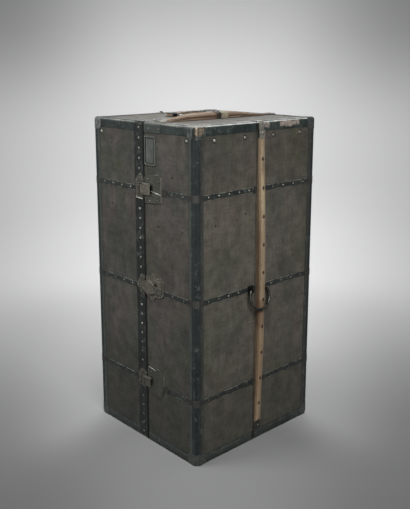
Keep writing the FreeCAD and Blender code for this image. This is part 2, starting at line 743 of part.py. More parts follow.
right_trim = corner_caps(1)
for z in band_heights:
    for edge, way in ((front_edge, -1), (rear_edge, 1)):
        if way < 0:
            right_trim.append(box((face_x, face_x + cleat[2]), (edge, edge + way * cleat[0]),
                                  (z - cleat[1] / 2, z + cleat[1] / 2)))
band_tip = (102.0, 124.0)
for z in (band_heights[0], band_heights[2]):
    tip = box(band_tip, (-face_y, -face_y - steel), (z - 11, z + 11))
    right_trim.append(tip.cut([upper_catch, lower_catch]))
save("right_steel_trim", *right_trim)
save("left_steel_trim", *corner_caps(-1))


# ---------------------------------------------------------------- rivets and studs
def keep_off(pieces, margin):
    """Boxes round the fittings, where the rows of rivets leave out their places."""
    zones = []
    for piece in pieces:
        zone = piece.BoundBox
        zone.enlarge(margin)
        zones.append(zone)
    return zones


def row(points, out, radius, rise, zones):
    return [dome(point, out, radius, rise) for point in points
            if not any(zone.isInside(point) for zone in zones)]


span_x = face_x - binding_width
span_y = face_y - binding_width
left_zones = keep_off([upper_plate, lock_left_plate, lower_plate] + left_flush
                      + [mirrored(piece) for piece in side_fittings + [side_runner]], rivet_radius + 2)
right_zones = keep_off(right_flush + side_fittings + [side_runner, label_frame, top_plate, lock_case],
                       rivet_radius + 2)
left_rivets, right_rivets = [], list(nails)
for z in band_heights:
    for y, out in ((-face_y, front), (face_y, back)):
        inner_end = strip_x if y < 0 else left_edge
        left_rivets += row([Vector(x, y, z) for x in spread(-span_x, inner_end, rivet_pitch)], out, rivet_radius,
                           rivet_rise, left_zones)
        outer_start = band_tip[1] if y < 0 else right_edge
        right_rivets += row([Vector(x, y, z) for x in spread(outer_start, span_x, rivet_pitch)], out, rivet_radius,
                            rivet_rise, right_zones)
    left_rivets += row([Vector(-face_x, y, z) for y in spread(-span_y, span_y, rivet_pitch)], Vector(-1, 0, 0),
                       rivet_radius, rivet_rise, left_zones)
    for y0, y1 in ((-span_y, front_edge - cleat[0]), (rear_edge, span_y)):
        right_rivets += row([Vector(face_x, y, z) for y in spread(y0, y1, rivet_pitch)], Vector(1, 0, 0),
                            rivet_radius, rivet_rise, right_zones)

strip_middle = (strip_x + left_edge) / 2
studs = row([Vector(strip_middle, -face_y, z) for z in spread(4, height - 4, stud_pitch)], front, stud_radius,
            stud_rise, left_zones)
studs += row([Vector(strip_middle, y, height) for y in spread(12 - face_y, span_y, stud_pitch)], up, stud_radius,
             stud_rise, [])
big_stud_z = height - stud_inset - 4
left_rivets.append(dome(Vector(stud_inset - face_x, -ply_y, big_stud_z), front, big_stud_radius, big_stud_rise))
right_rivets.append(dome(Vector(face_x - stud_inset, -ply_y, big_stud_z), front, big_stud_radius, big_stud_rise))
for y in spread(-face_y + 12, face_y - 12, big_stud_pitch):
    left_rivets.append(dome(Vector(-ply_x, y, big_stud_z), Vector(-1, 0, 0), big_stud_radius, big_stud_rise))
    right_rivets.append(dome(Vector(ply_x, y, big_stud_z), Vector(1, 0, 0), big_stud_radius, big_stud_rise))


def plate_rivets(places, band):
    return [dome(Vector(seam_x + x, plate_front, band + z), front, plate_rivet_radius, plate_rivet_rise)
            for x, z in places]


left_rivets += plate_rivets(upper_left_rivets, upper_band) + plate_rivets(lock_left_rivets, lock_band)
left_rivets += plate_rivets(lower_left_rivets, lower_band)
right_rivets += plate_rivets(upper_right_rivets, upper_band) + plate_rivets(lock_right_rivets, lock_band)
right_rivets += plate_rivets(lower_right_rivets, lower_band)
right_rivets += [dome(Vector(x, -face_y - steel, height - top_plate_rivet_drop), front, plate_rivet_radius,
                      plate_rivet_rise)
                 for x in (top_plate_x[0] + top_plate_rivet_insets[0], top_plate_x[1] - top_plate_rivet_insets[1])]
label_rivets = [(x, z) for x in (label_x[0] + label_border / 2, label_x[1] - label_border / 2)
                for z in (label_z[0] + label_border / 2, label_z[1] - label_border / 2)]
right_rivets += [dome(Vector(x, -ply_y - label_out, z), front, 2.2, 1.2) for x, z in label_rivets]
left_rivets += [mirrored(nail) for nail in nails[:nail_count + 2]]
save("left_rivets", *(left_rivets + studs))
save("right_rivets", *right_rivets)


# ---------------------------------------------------------------- inside
def frame_strip(x, thick, gap):
    """A flat strip round the inside of the four walls beside the seam, as four straight pieces."""
    y_out, z_out, z_in = room_y - gap, room_z - gap, floor_z + gap
    y_mid = room_y - thick
    return [box(x, (-y_out, -y_mid), (z_in, z_out)), box(x, (y_mid, y_out), (z_in, z_out)),
            box(x, (-y_mid, y_mid), (room_z - thick, z_out)), box(x, (-y_mid, y_mid), (z_in, floor_z + thick))]


tongue_tip = right_edge - tongue_reach
tongue_end = right_edge + tongue_root
roots = frame_strip((right_edge, tongue_end), tongue_thick, 0)
tips = frame_strip((tongue_tip, right_edge), tongue_thick, easy)
save("seam_tongue", *[root.fuse(tip).removeSplitter() for root, tip in zip(roots, tips)])

tie_y = (front_edge - 10, rear_edge + 10)
ties = [box((room_x - lining, room_x), tie_y, (floor_z, room_z)),
        box((tongue_end, room_x - lining), tie_y, (room_z - lining, room_z)),
        box((tongue_end, room_x - lining), tie_y, (floor_z, floor_z + lining))]
save("side_seam_ties", *ties)

lining_end = tongue_tip - 1
left_lining = box((-room_x, lining_end), room_depth, (floor_z, room_z)).cut(
    box((lining - room_x, far), (lining - room_y, room_y - lining), (floor_z + lining, room_z - lining)))
right_lining = box((tongue_end, room_x), room_depth, (floor_z, room_z)).cut(
    box((0, room_x - lining), (lining - room_y, room_y - lining), (floor_z + lining, room_z - lining)))
save("left_lining", left_lining)
save("right_lining", right_lining.cut(ties))

# Drawer cabinet
inner_y = room_y - lining
inner_back = lining - room_x
inner_floor = floor_z + lining
opening_y = inner_y - cabinet_wall
cabinet_front = left_edge - drawer_setback
shelf_low = shelf_top - cabinet_wall
strip_out, strip_high = runner_strip
cabinet = []
for side in (-1, 1):
    cabinet.append(box((inner_back, cabinet_front), (side * opening_y, side * inner_y), (inner_floor, shelf_low)))
cabinet.append(box((inner_back, cabinet_front), (-inner_y, inner_y), (shelf_low, shelf_top)))
drawer_gap = strip_high + running + easy
small_drawer = (shelf_low - inner_floor - tall_drawer - drawer_count * drawer_gap) / (drawer_count - 1)
drawer_y = opening_y - easy
drawer_x = (inner_back + drawer_back_gap, cabinet_front)
level = inner_floor
for index in range(drawer_count):
    tall = tall_drawer if index == 0 else small_drawer
    for side in (-1, 1):
        cabinet.append(box((inner_back, cabinet_front), (side * (opening_y - strip_out), side * opening_y),
                           (level, level + strip_high)))
    low = level + strip_high + running
    high = low + tall
    back_x = drawer_x[0] + drawer_board
    front_x = drawer_x[1] - drawer_front
    board_y = drawer_y - drawer_board
    base_top = low + drawer_base
    pieces = [box((front_x, drawer_x[1]), (-drawer_y, drawer_y), (low, high)),
              box((drawer_x[0], back_x), (-drawer_y, drawer_y), (low, high)),
              box((back_x, front_x), (-board_y, board_y), (low, base_top))]
    for side in (-1, 1):
        pieces.append(box((back_x, front_x), (side * board_y, side * drawer_y), (low, high)))
    grip_z = (low + high) / 2
    grip_x = drawer_x[1] + pull_reach - pull_rod
    bar = Part.makeCylinder(pull_rod, pull_span, Vector(grip_x, -pull_span / 2, grip_z), back)
    pull_posts = [Part.makeCylinder(pull_post, grip_x - drawer_x[1], Vector(drawer_x[1], y, grip_z), right)
                  for y in (pull_post_inset - pull_span / 2, pull_span / 2 - pull_post_inset)]
    pieces.append(bar.fuse(pull_posts))
    save("drawer_%d" % (index + 1), *pieces)
    level = high + easy
save("drawer_cabinet", *cabinet)

# Hanger channel, trolley and hangers
channel_wide, channel_high, channel_wall = channel
channel_top = room_z - lining
channel_x = (tongue_end + channel_inset, room_x - channel_end_gap)
channel_low = channel_top - channel_high
rail = box(channel_x, (-channel_wide / 2, channel_wide / 2), (channel_low, channel_top))
cavity_y = channel_wide / 2 - channel_wall
cavity_z = (channel_low + channel_wall, channel_top - channel_wall)
rail = rail.cut([box((0, far), (-cavity_y, cavity_y), cavity_z),
                 box((0, far), (-channel_slot / 2, channel_slot / 2), (channel_low - 1, cavity_z[0] + 1))])
save("hanger_channel", rail)

trolley_x = (channel_x[0] + trolley_inset, channel_x[1] - trolley_end_gap)
trolley_length = trolley_x[1] - trolley_x[0]
slider = box(trolley_x, (easy - cavity_y, cavity_y - easy), (cavity_z[0] + running, cavity_z[1] - running))
neck = channel_slot / 2 - 2
posts = [box((x, x + post), (-neck, neck), (rod_z - rod_radius, cavity_z[0] + 2))
         for x in (trolley_x[0], trolley_x[1] - post)]
rod = Part.makeCylinder(rod_radius, trolley_length, Vector(trolley_x[0], 0, rod_z), Vector(1, 0, 0))
save("hanger_trolley", fuse([slider] + posts + [rod]))


def hanger(x):
    half = hanger_span / 2
    drop = hanger_top - hanger_sag
    corners = [Vector(x, -half, drop), Vector(x, 0, hanger_top), Vector(x, half, drop)]
    lower = [point - Vector(0, 0, hanger_height) for point in corners]
    wire = Part.Wire([Part.Arc(*corners).toShape(), Part.makeLine(corners[2], lower[2]),
                      Part.Arc(lower[2], lower[1], lower[0]).toShape(), Part.makeLine(lower[0], corners[0])])
    board = Part.Face(wire).extrude(Vector(hanger_thick, 0, 0))
    middle = x + hanger_thick / 2
    hook_radius = rod_radius + running + hook_wire
    hook = Part.makeTorus(hook_radius, hook_wire, Vector(), Vector(0, 0, 1), 0, 360, 235)
    hook.rotate(Vector(), Vector(0, 0, 1), -90)
    hook.rotate(Vector(), Vector(1, 1, 1), 120)
    hook.translate(Vector(middle, 0, rod_z))
    stem = upright(middle, 0, hanger_top - 5, rod_z - hook_radius, hook_wire)
    knee = Part.makeSphere(hook_wire, Vector(middle, 0, rod_z - hook_radius))
    return board.fuse([stem, knee, hook])


first_hanger = (trolley_x[0] + trolley_x[1]) / 2 - hanger_pitch * (hanger_count - 1) / 2 - hanger_thick / 2
for index in range(hanger_count):
    save("hanger_%d" % (index + 1), hanger(first_hanger + hanger_pitch * index))


# ---------------------------------------------------------------- top handle
strap_z = ply_z + 2 * steel + running
half_strap = handle_length / 2
ends = half_strap - bracket_length


def strap_arc(rise):
    """Three points on the strap's arch: its underside at no rise, its top at its thickness."""
    return [Vector(handle_x, -ends, strap_z + rise), Vector(handle_x, 0, strap_z + handle_arch + rise),
            Vector(handle_x, ends, strap_z + rise)]


under, over = strap_arc(0), strap_arc(handle_thick)
arch = Part.Face(Part.Wire([Part.Arc(*under).toShape(), Part.makeLine(under[2], over[2]),
                            Part.Arc(over[2], over[1], over[0]).toShape(),
                            Part.makeLine(over[0], under[0])])).extrude(Vector(handle_width, 0, 0))
arch.translate(Vector(-handle_width / 2, 0, 0))
strap = [arch]
brackets = []
for side in (-1, 1):
    strap.append(box((handle_x - handle_width / 2, handle_x + handle_width / 2), (side * ends, side * half_strap),
                     (strap_z, strap_z + handle_thick)))
    y = (side * (ends + 4), side * (half_strap - 2))
    wide = handle_width / 2 + running
    base = box((handle_x - wide - bracket_foot, handle_x + wide + bracket_foot), y, (ply_z, ply_z + 2 * steel))
    hoop_top = strap_z + handle_thick + running
    hoop = box((handle_x - wide - bracket_thick, handle_x + wide + bracket_thick), y,
               (ply_z, hoop_top + bracket_thick)).cut(
                   box((handle_x - wide, handle_x + wide), everywhere, (ply_z, hoop_top)))
    brackets.append(fuse([base, hoop]))
save("top_handle", fuse(strap))
save("handle_brackets", *brackets)
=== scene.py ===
import json
import math

import bmesh
import bpy
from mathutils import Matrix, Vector


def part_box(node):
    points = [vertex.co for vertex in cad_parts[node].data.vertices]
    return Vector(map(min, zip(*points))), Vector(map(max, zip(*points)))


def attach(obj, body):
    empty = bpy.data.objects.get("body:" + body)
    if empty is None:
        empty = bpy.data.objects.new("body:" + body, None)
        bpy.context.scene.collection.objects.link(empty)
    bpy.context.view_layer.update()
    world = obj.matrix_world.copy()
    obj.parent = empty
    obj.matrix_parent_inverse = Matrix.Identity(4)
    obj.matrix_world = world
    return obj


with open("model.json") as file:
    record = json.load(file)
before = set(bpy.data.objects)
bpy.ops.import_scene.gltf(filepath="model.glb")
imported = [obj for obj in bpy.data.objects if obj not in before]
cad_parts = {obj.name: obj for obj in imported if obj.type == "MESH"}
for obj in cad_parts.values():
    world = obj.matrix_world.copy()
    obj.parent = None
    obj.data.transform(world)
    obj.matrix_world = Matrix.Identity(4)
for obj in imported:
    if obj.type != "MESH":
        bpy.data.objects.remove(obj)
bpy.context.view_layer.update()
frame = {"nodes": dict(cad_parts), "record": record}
nodes = frame["nodes"]
mm = 0.001
quarter = math.pi / 2

# The case, read off the frame
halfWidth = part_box("right_edge_bindings")[1].x
halfDepth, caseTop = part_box("left_edge_bindings")[1].yz

# How far the corner caps reach down, where they begin in X and Y, and the side joint line in Y
capReach = 60 * mm
capStart = 200 * mm
jointLine = -12.5 * mm
print("frame loaded:", len(nodes), "nodes")


def addNode(tree, kind, inputs=None, **settings):
    made = tree.nodes.new(kind)
    for key, value in settings.items():
        setattr(made, key, value)
    for key, value in (inputs or {}).items():
        feed(tree, value, made.inputs[key])
    return made


# A socket takes another socket, or a plain value.
def feed(tree, value, socket):
    if isinstance(value, bpy.types.NodeSocket):
        tree.links.new(value, socket)
    else:
        socket.default_value = value


def maths(tree, operation, first, second=0.0, clamp=False):
    made = addNode(tree, "ShaderNodeMath", operation=operation, use_clamp=clamp)
    feed(tree, first, made.inputs[0])
    feed(tree, second, made.inputs[1])
    return made.outputs[0]


# The product of all the values given
def times(tree, first, *others):
    for other in others:
        first = maths(tree, "MULTIPLY", first, other)
    return first


def plus(tree, first, *others):
    for other in others:
        first = maths(tree, "ADD", first, other)
    return first


def minus(tree, first, second):
    return maths(tree, "SUBTRACT", first, second)


def mixColour(tree, mask, first, second):
    made = addNode(tree, "ShaderNodeMix", data_type="RGBA", blend_type="MIX", clamp_factor=True)
    feed(tree, mask, made.inputs[0])
    feed(tree, first, made.inputs[6])
    feed(tree, second, made.inputs[7])
    return made.outputs[2]


# A colour with a tint laid over it where the mask is, as strongly as given
def tinted(tree, colour, tint, mask, strength=None):
    if strength is not None:
        mask = times(tree, mask, strength)
    return mixColour(tree, mask, colour, tint)


def remap(tree, value, low, high, toLow=0.0, toHigh=1.0):
    made = addNode(tree, "ShaderNodeMapRange", {"From Min": low, "From Max": high, "To Min": toLow,
                                                "To Max": toHigh, "Value": value},
                   interpolation_type="SMOOTHSTEP")
    return made.outputs["Result"]


def noise(tree, vector, scale, detail=4.0, roughness=0.55, distortion=0.0):
    made = addNode(tree, "ShaderNodeTexNoise", {"Vector": vector, "Scale": scale, "Detail": detail,
                                                "Roughness": roughness, "Distortion": distortion})
    return made.outputs["Fac"]


# A noise that swings round 0
def swing(tree, *settings):
    return minus(tree, noise(tree, *settings), 0.5)


def stretched(tree, vector, scale, turn=(0, 0, 0), shift=(0, 0, 0)):
    made = addNode(tree, "ShaderNodeMapping",
                   {"Vector": vector, "Scale": scale, "Rotation": turn, "Location": shift})
    return made.outputs["Vector"]


def coordinates(tree, place):
    parts = addNode(tree, "ShaderNodeSeparateXYZ", {"Vector": place})
    return parts.outputs["X"], parts.outputs["Y"], parts.outputs["Z"]


# How far a point lies in from the side faces, and from the lock and back faces
def fromFaces(tree, x, y):
    return (minus(tree, halfWidth, maths(tree, "ABSOLUTE", x)),
            minus(tree, halfDepth, maths(tree, "ABSOLUTE", y)))


# A colour made darker or lighter
def shade(tree, colour, factor):
    made = addNode(tree, "ShaderNodeVectorMath", operation="SCALE")
    feed(tree, colour, made.inputs[0])
    feed(tree, factor, made.inputs["Scale"])
    return made.outputs[0]


# A noise turned into a factor round 1
def around(tree, value, amount):
    return plus(tree, times(tree, value, amount), 1 - amount / 2)


def newGroup(name, inputs, outputs):
    group = bpy.data.node_groups.new(name, "ShaderNodeTree")
    for label, kind, value in inputs:
        socket = group.interface.new_socket(label, in_out="INPUT", socket_type="NodeSocket" + kind)
        if value is not None:
            socket.default_value = value
    for label, kind in outputs:
        group.interface.new_socket(label, in_out="OUTPUT", socket_type="NodeSocket" + kind)
    entry = group.nodes.new("NodeGroupInput")
    leave = group.nodes.new("NodeGroupOutput")
    return group, entry, leave


def useGroup(tree, group, **inputs):
    made = tree.nodes.new("ShaderNodeGroup")
    made.node_tree = group
    for key, value in inputs.items():
        feed(tree, value, made.inputs[key])
    return made


# A colour as it looks on screen, 0 to 255, made linear.
def rgb(red, green, blue):
    linear = []
    for part in (red, green, blue):
        part /= 255
        linear.append(part / 12.92 if part <= 0.04045 else ((part + 0.055) / 1.055) ** 2.4)
    return (*linear, 1.0)


# How near a point lies to the case's own edges, broken up by noise: 1 on a worn edge
def edgeWearGroup():
    group, entry, leave = newGroup("edgeWear", [("Vector", "Vector", None), ("Reach", "Float", 0.006),
                                                ("Raggedness", "Float", 0.008), ("Grain", "Float", 60.0)],
                                   [("Mask", "Float")])
    vector, reach, raggedness = (entry.outputs[label] for label in ("Vector", "Reach", "Raggedness"))
    x, y, z = coordinates(group, vector)
    awayX, awayY = fromFaces(group, x, y)
    awayEnd = maths(group, "MINIMUM", minus(group, caseTop, z), z)
    level = plus(group, maths(group, "MINIMUM", awayX, awayY), awayEnd)
    nearest = maths(group, "MINIMUM", plus(group, awayX, awayY), level)
    fine = times(group, swing(group, vector, entry.outputs["Grain"], 6.0, 0.7), raggedness)
    broad = times(group, swing(group, vector, 9.0, 3.0), raggedness)
    near = plus(group, nearest, plus(group, fine, broad))
    feed(group, remap(group, near, reach, times(group, reach, 0.35)), leave.inputs["Mask"])
    return group


# A plain weave: raised threads that cross, uneven ones among them, and long streaks both ways
def weaveGroup():
    group, entry, leave = newGroup("weave", [("Vector", "Vector", None), ("Threads", "Float", 900.0)],
                                   [("Height", "Float"), ("Slub", "Float"), ("Streak", "Float")])
    vector = entry.outputs["Vector"]
    wobble = noise(group, vector, 24.0, 3.0)
    bent = addNode(group, "ShaderNodeVectorMath", operation="SCALE")
    feed(group, vector, bent.inputs[0])
    feed(group, entry.outputs["Threads"], bent.inputs["Scale"])
    waves = []
    for value in coordinates(group, bent.outputs[0]):
        shifted = plus(group, value, times(group, wobble, 9.0))
        waves.append(maths(group, "SINE", times(group, shifted, 2 * math.pi)))
    product = plus(group, times(group, waves[0], waves[2]), times(group, waves[1], waves[2]))
    product = plus(group, product, times(group, waves[0], waves[1]))
    feed(group, remap(group, product, -1.2, 1.2), leave.inputs["Height"])
    slubs = noise(group, stretched(group, vector, (1.0, 1.0, 0.08)), 420.0, 2.0)
    cross = noise(group, stretched(group, vector, (0.08, 0.08, 1.0)), 420.0, 2.0)
    feed(group, times(group, plus(group, slubs, cross), 0.5), leave.inputs["Slub"])
    level = noise(group, stretched(group, vector, (16.0, 16.0, 260.0)), 1.0, 4.0, 0.65)
    upright = noise(group, stretched(group, vector, (230.0, 230.0, 12.0), shift=(0.4, 0.1, 0.7)), 1.0, 4.0,
                    0.65)
    streak = plus(group, times(group, level, 0.6), times(group, upright, 0.4))
    feed(group, streak, leave.inputs["Streak"])
    return group


# Stains, rubbed patches and specks
def grimeGroup():
    group, entry, leave = newGroup("grime", [("Vector", "Vector", None), ("Size", "Float", 5.0)],
                                   [("Stain", "Float"), ("Rub", "Float"), ("Speck", "Float")])
    vector = entry.outputs["Vector"]
    large = noise(group, vector, entry.outputs["Size"], 7.0, 0.62, 0.3)
    feed(group, remap(group, large, 0.36, 0.68), leave.inputs["Stain"])
    small = noise(group, stretched(group, vector, (1.0, 1.0, 0.35), shift=(3.1, 1.7, 0.4)),
                  times(group, entry.outputs["Size"], 6.0), 8.0, 0.7)
    feed(group, remap(group, small, 0.52, 0.74), leave.inputs["Rub"])
    speck = noise(group, vector, 900.0, 2.0, 0.6)
    feed(group, remap(group, speck, 0.62, 0.74), leave.inputs["Speck"])
    return group


# Fine scratches that run two ways.
def scratchGroup():
    group, entry, leave = newGroup("scratches", [("Vector", "Vector", None), ("Density", "Float", 1.0)],
                                   [("Mask", "Float")])
    first = noise(group, stretched(group, entry.outputs["Vector"], (260.0, 260.0, 14.0), (0.3, 0.5, 0.2)),
                  1.0, 3.0, 0.6)
    second = noise(group, stretched(group, entry.outputs["Vector"], (16.0, 16.0, 300.0), (0.5, 0.2, 0.9)),
                   1.0, 3.0, 0.6)
    both = maths(group, "MAXIMUM", remap(group, first, 0.66, 0.72), remap(group, second, 0.68, 0.73))
    patch = remap(group, noise(group, entry.outputs["Vector"], 16.0, 3.0), 0.4, 0.62)
    mask = times(group, both, patch, entry.outputs["Density"])
    feed(group, mask, leave.inputs["Mask"])
    return group


# Long grain that runs along one axis of the vector given.
def woodGroup():
    group, entry, leave = newGroup("woodGrain", [("Vector", "Vector", None), ("Scale", "Float", 1.0)],
                                   [("Grain", "Float"), ("Pore", "Float"), ("Patch", "Float")])
    scaled = addNode(group, "ShaderNodeVectorMath", operation="SCALE")
    feed(group, entry.outputs["Vector"], scaled.inputs[0])
    feed(group, entry.outputs["Scale"], scaled.inputs["Scale"])
    vector = scaled.outputs[0]
    wide = noise(group, stretched(group, vector, (70.0, 70.0, 2.2)), 1.0, 5.0, 0.6, 0.6)
    fine = noise(group, stretched(group, vector, (420.0, 420.0, 9.0)), 1.0, 3.0, 0.6)
    feed(group, plus(group, times(group, wide, 0.65), times(group, fine, 0.35)),
         leave.inputs["Grain"])
    feed(group,
         remap(group, noise(group, stretched(group, vector, (900.0, 900.0, 26.0)), 1.0, 2.0), 0.58, 0.7),
         leave.inputs["Pore"])
    feed(group,
         remap(group, noise(group, stretched(group, vector, (14.0, 14.0, 5.0)), 1.0, 5.0, 0.6), 0.35, 0.7),
         leave.inputs["Patch"])
    return group


edgeWear = edgeWearGroup()
weave = weaveGroup()
grime = grimeGroup()
scratches = scratchGroup()
woodGrain = woodGroup()
print("shared effects made")


# A material with its shader, its tree and the object coordinates that it reads.
def newMaterial(name, **sockets):
    material = bpy.data.materials.new(name)
    material.use_nodes = True
    tree = material.node_tree
    shader = tree.nodes["Principled BSDF"]
    for key, value in sockets.items():
        shader.inputs[key.replace("_", " ")].default_value = value
    place = addNode(tree, "ShaderNodeTexCoord").outputs["Object"]
    return material, tree, shader, place


def bump(tree, shader, height, strength, distance, under=None):
    made = addNode(tree, "ShaderNodeBump", {"Height": height, "Strength": strength, "Distance": distance})
    if under is not None:
        feed(tree, under, made.inputs["Normal"])
    feed(tree, made.outputs["Normal"], shader.inputs["Normal"])
    return made.outputs["Normal"]


# 1 between low and high, with soft ends.
def within(tree, value, low, high, soft):
    return times(tree, remap(tree, value, low - soft, low + soft),
                 remap(tree, value, high + soft, high - soft))


# A mask over a box given as pairs for X, Y and Z in metres, None for any, with ragged ends.
def patch(tree, place, bounds, soft, ragged=0.0, grain=40.0):
    stir = times(tree, swing(tree, place, grain, 5.0, 0.65), 2 * ragged)
    mask = None
    for value, limits in zip(coordinates(tree, place), bounds):
        if limits is None:
            continue
        part = within(tree, plus(tree, value, stir), limits[0], limits[1], soft)
        mask = part if mask is None else times(tree, mask, part)
    return mask


# The canvas's large stains: greener and warmer patches and dark streaks that run down
def canvasPatches(tree, place, x, dirt):
    colour = mixColour(tree, dirt.outputs["Stain"], rgb(60, 62, 57), rgb(80, 79, 73))
    warm = noise(tree, stretched(tree, place, (1.0, 1.0, 0.7), shift=(5.0, 2.0, 1.0)), 5.0, 6.0, 0.62)
    warmer = remap(tree, x, 0.2, 0.26, 0.55, 0.85)
    colour = tinted(tree, colour, rgb(85, 77, 71), times(tree, remap(tree, warm, 0.44, 0.64), warmer))
    stripes = noise(tree, stretched(tree, place, (1.0, 1.0, 0.16), shift=(2.0, 6.0, 0.0)), 30.0, 5.0, 0.65)
    colour = tinted(tree, colour, rgb(56, 58, 54), remap(tree, stripes, 0.42, 0.66), 0.5)
    bruise = noise(tree, stretched(tree, place, (1.0, 1.0, 0.5), shift=(9.0, 4.0, 2.0)), 11.0, 6.0, 0.66)
    colour = tinted(tree, colour, rgb(86, 78, 76), remap(tree, bruise, 0.5, 0.6), 0.6)
    olive = noise(tree, stretched(tree, place, (1.0, 1.0, 0.8), shift=(1.0, 8.0, 3.0)), 7.5, 6.0, 0.65)
    return tinted(tree, colour, rgb(76, 78, 60), remap(tree, olive, 0.5, 0.7), 0.6)


# How light the canvas is: its weave and mottling, painted light on the right side and painted shade at the
# foot of the rest
def canvasTone(tree, place, z, cloth, onSide):
    grain = around(tree, noise(tree, place, 260.0, 4.0, 0.75), 1.0)
    blotch = around(tree, noise(tree, place, 26.0, 7.0, 0.72), 1.7)
    factor = times(tree, around(tree, cloth.outputs["Streak"], 1.2), grain, blotch)
    # The right side face lifted most at mid-height: painted light
    lift = times(tree, remap(tree, z, 1.0, 0.75, 0.03, 0.36), remap(tree, z, 0.12, 0.34, 0.1, 1.0))
    tone = plus(tree, 1.0, times(tree, onSide, lift))
    # The faces other than the right side darker towards the foot: painted shade
    footShade = times(tree, minus(tree, 1.0, onSide), remap(tree, z, 0.42, 0.08, 0.0, 0.24))
    return times(tree, factor, minus(tree, tone, footShade))


# Waxed canvas: a brown grey, its threads rubbed pale and its top dusty
def canvasMaterial():
    material, tree, shader, place = newMaterial("waxedCanvas", Specular_IOR_Level=0.2, Sheen_Weight=0.03,
                                                Sheen_Roughness=0.5)
    x, y, z = coordinates(tree, place)
    cloth = useGroup(tree, weave, Vector=place, Threads=330.0)
    dirt = useGroup(tree, grime, Vector=place, Size=4.2)
    wear = useGroup(tree, edgeWear, Vector=place, Reach=0.05, Raggedness=0.05, Grain=24.0)
    lines = useGroup(tree, scratches, Vector=place, Density=0.35)
    colour = canvasPatches(tree, place, x, dirt)
    colour = tinted(tree, colour, rgb(98, 96, 88), dirt.outputs["Rub"], 0.3)
    colour = tinted(tree, colour, rgb(104, 101, 91), cloth.outputs["Height"], 0.16)
    colour = tinted(tree, colour, rgb(46, 46, 42), wear.outputs["Mask"], 0.25)
    colour = tinted(tree, colour, rgb(116, 112, 104), lines.outputs["Mask"])
    colour = tinted(tree, colour, rgb(118, 114, 104), dirt.outputs["Speck"], 0.35)
    above = remap(tree, z, caseTop - 3 * mm, caseTop - 1 * mm)
    dustAndHighlight = times(tree, above, remap(tree, noise(tree, place, 14.0, 6.0, 0.65), 0.3, 0.7, 0.5, 0.95))
    colour = tinted(tree, colour, rgb(112, 109, 102), dustAndHighlight)
    # Greener and darker towards the foot; the darkening is painted shade
    colour = tinted(tree, colour, rgb(64, 66, 58), remap(tree, z, 0.4, 0.1), 0.5)
    # The right side face made warmer: painted light
    onSide = remap(tree, x, halfWidth - 6 * mm, halfWidth - 5 * mm)
    colour = tinted(tree, colour, rgb(80, 75, 64), onSide, 0.25)
    factor = canvasTone(tree, place, z, cloth, onSide)
    feed(tree, shade(tree, colour, factor), shader.inputs["Base Color"])
    feed(tree, remap(tree, dirt.outputs["Rub"], 0.0, 1.0, 0.72, 0.56), shader.inputs["Roughness"])
    coarse = bump(tree, shader, noise(tree, place, 30.0, 5.0, 0.6), 0.3, 0.0018)
    bump(tree, shader, cloth.outputs["Height"], 0.5, 0.0006, coarse)
    return material


# Vulcanised fibre: dark and slightly glossy, rubbed pale along the edges. The bindings are beaded,
# the bands have pale edges, and the seam strip is painted near-black beside the seam as the shade of the gap.
def fibreMaterial(name, deep, light, bare, wearReach, beads=False, seam=False, edged=False):
    material, tree, shader, place = newMaterial(name, Specular_IOR_Level=0.3)
    x, y, z = coordinates(tree, place)
    dirt = useGroup(tree, grime, Vector=place, Size=11.0)
    wear = useGroup(tree, edgeWear, Vector=place, Reach=wearReach, Raggedness=0.016, Grain=90.0)
    lines = useGroup(tree, scratches, Vector=place, Density=0.6)
    colour = mixColour(tree, dirt.outputs["Stain"], deep, light)
    colour = tinted(tree, colour, rgb(84, 92, 85), dirt.outputs["Rub"], 0.5)
    height = noise(tree, place, 160.0, 6.0, 0.65)
    if beads:
        colour = edgeTones(tree, place, x, y, z, colour)
        ridge, groove = beadLines(tree, place)
        # Grooves painted darker as shade, ridges paler as a painted highlight where rubbed; both are also
        # bumped
        colour = tinted(tree, colour, rgb(20, 26, 29), groove, 0.45)
        shine = times(tree, ridge, remap(tree, dirt.outputs["Rub"], 0.0, 1.0, 0.1, 0.5))
        colour = tinted(tree, colour, rgb(84, 94, 92), shine)
        height = plus(tree, height, times(tree, minus(tree, ridge, groove), 1.6))
    if edged:
        colour = tinted(tree, colour, rgb(138, 142, 132), bandEdges(tree, place, z))
    colour = tinted(tree, colour, rgb(112, 116, 106), lines.outputs["Mask"])
    scuffs = remap(tree, noise(tree, place, 48.0, 7.0, 0.72), 0.54, 0.68, 0.0, 0.55)
    colour = tinted(tree, colour, rgb(96, 104, 98), scuffs)
    colour = shade(tree, colour, around(tree, noise(tree, place, 120.0, 5.0, 0.7), 1.5))
    wearing = remap(tree, z, caseTop - 0.06, caseTop - 0.03, 0.35, 0.8)
    colour = tinted(tree, colour, bare, times(tree, wear.outputs["Mask"], wearing))
    if beads:
        colour = wornPlaces(tree, place, colour)
        colour = topLines(tree, place, colour)
    # Near-black on the strip beside the seam: painted shade of the gap
    if seam:
        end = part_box("seam_strip")[1].x
        colour = tinted(tree, colour, rgb(9, 10, 10), remap(tree, x, end - 6 * mm, end - 4.5 * mm))
    feed(tree, colour, shader.inputs["Base Color"])
    feed(tree, remap(tree, dirt.outputs["Stain"], 0.0, 1.0, 0.42, 0.6), shader.inputs["Roughness"])
    bump(tree, shader, plus(tree, height, times(tree, wear.outputs["Mask"], -0.6)), 0.35, 0.0006)
    return material


# The lower and upper edge of each level band
bandHeights = [(z - 8.5 * mm, z + 8.5 * mm) for z in (0.2180, 0.5500, 0.8820)]


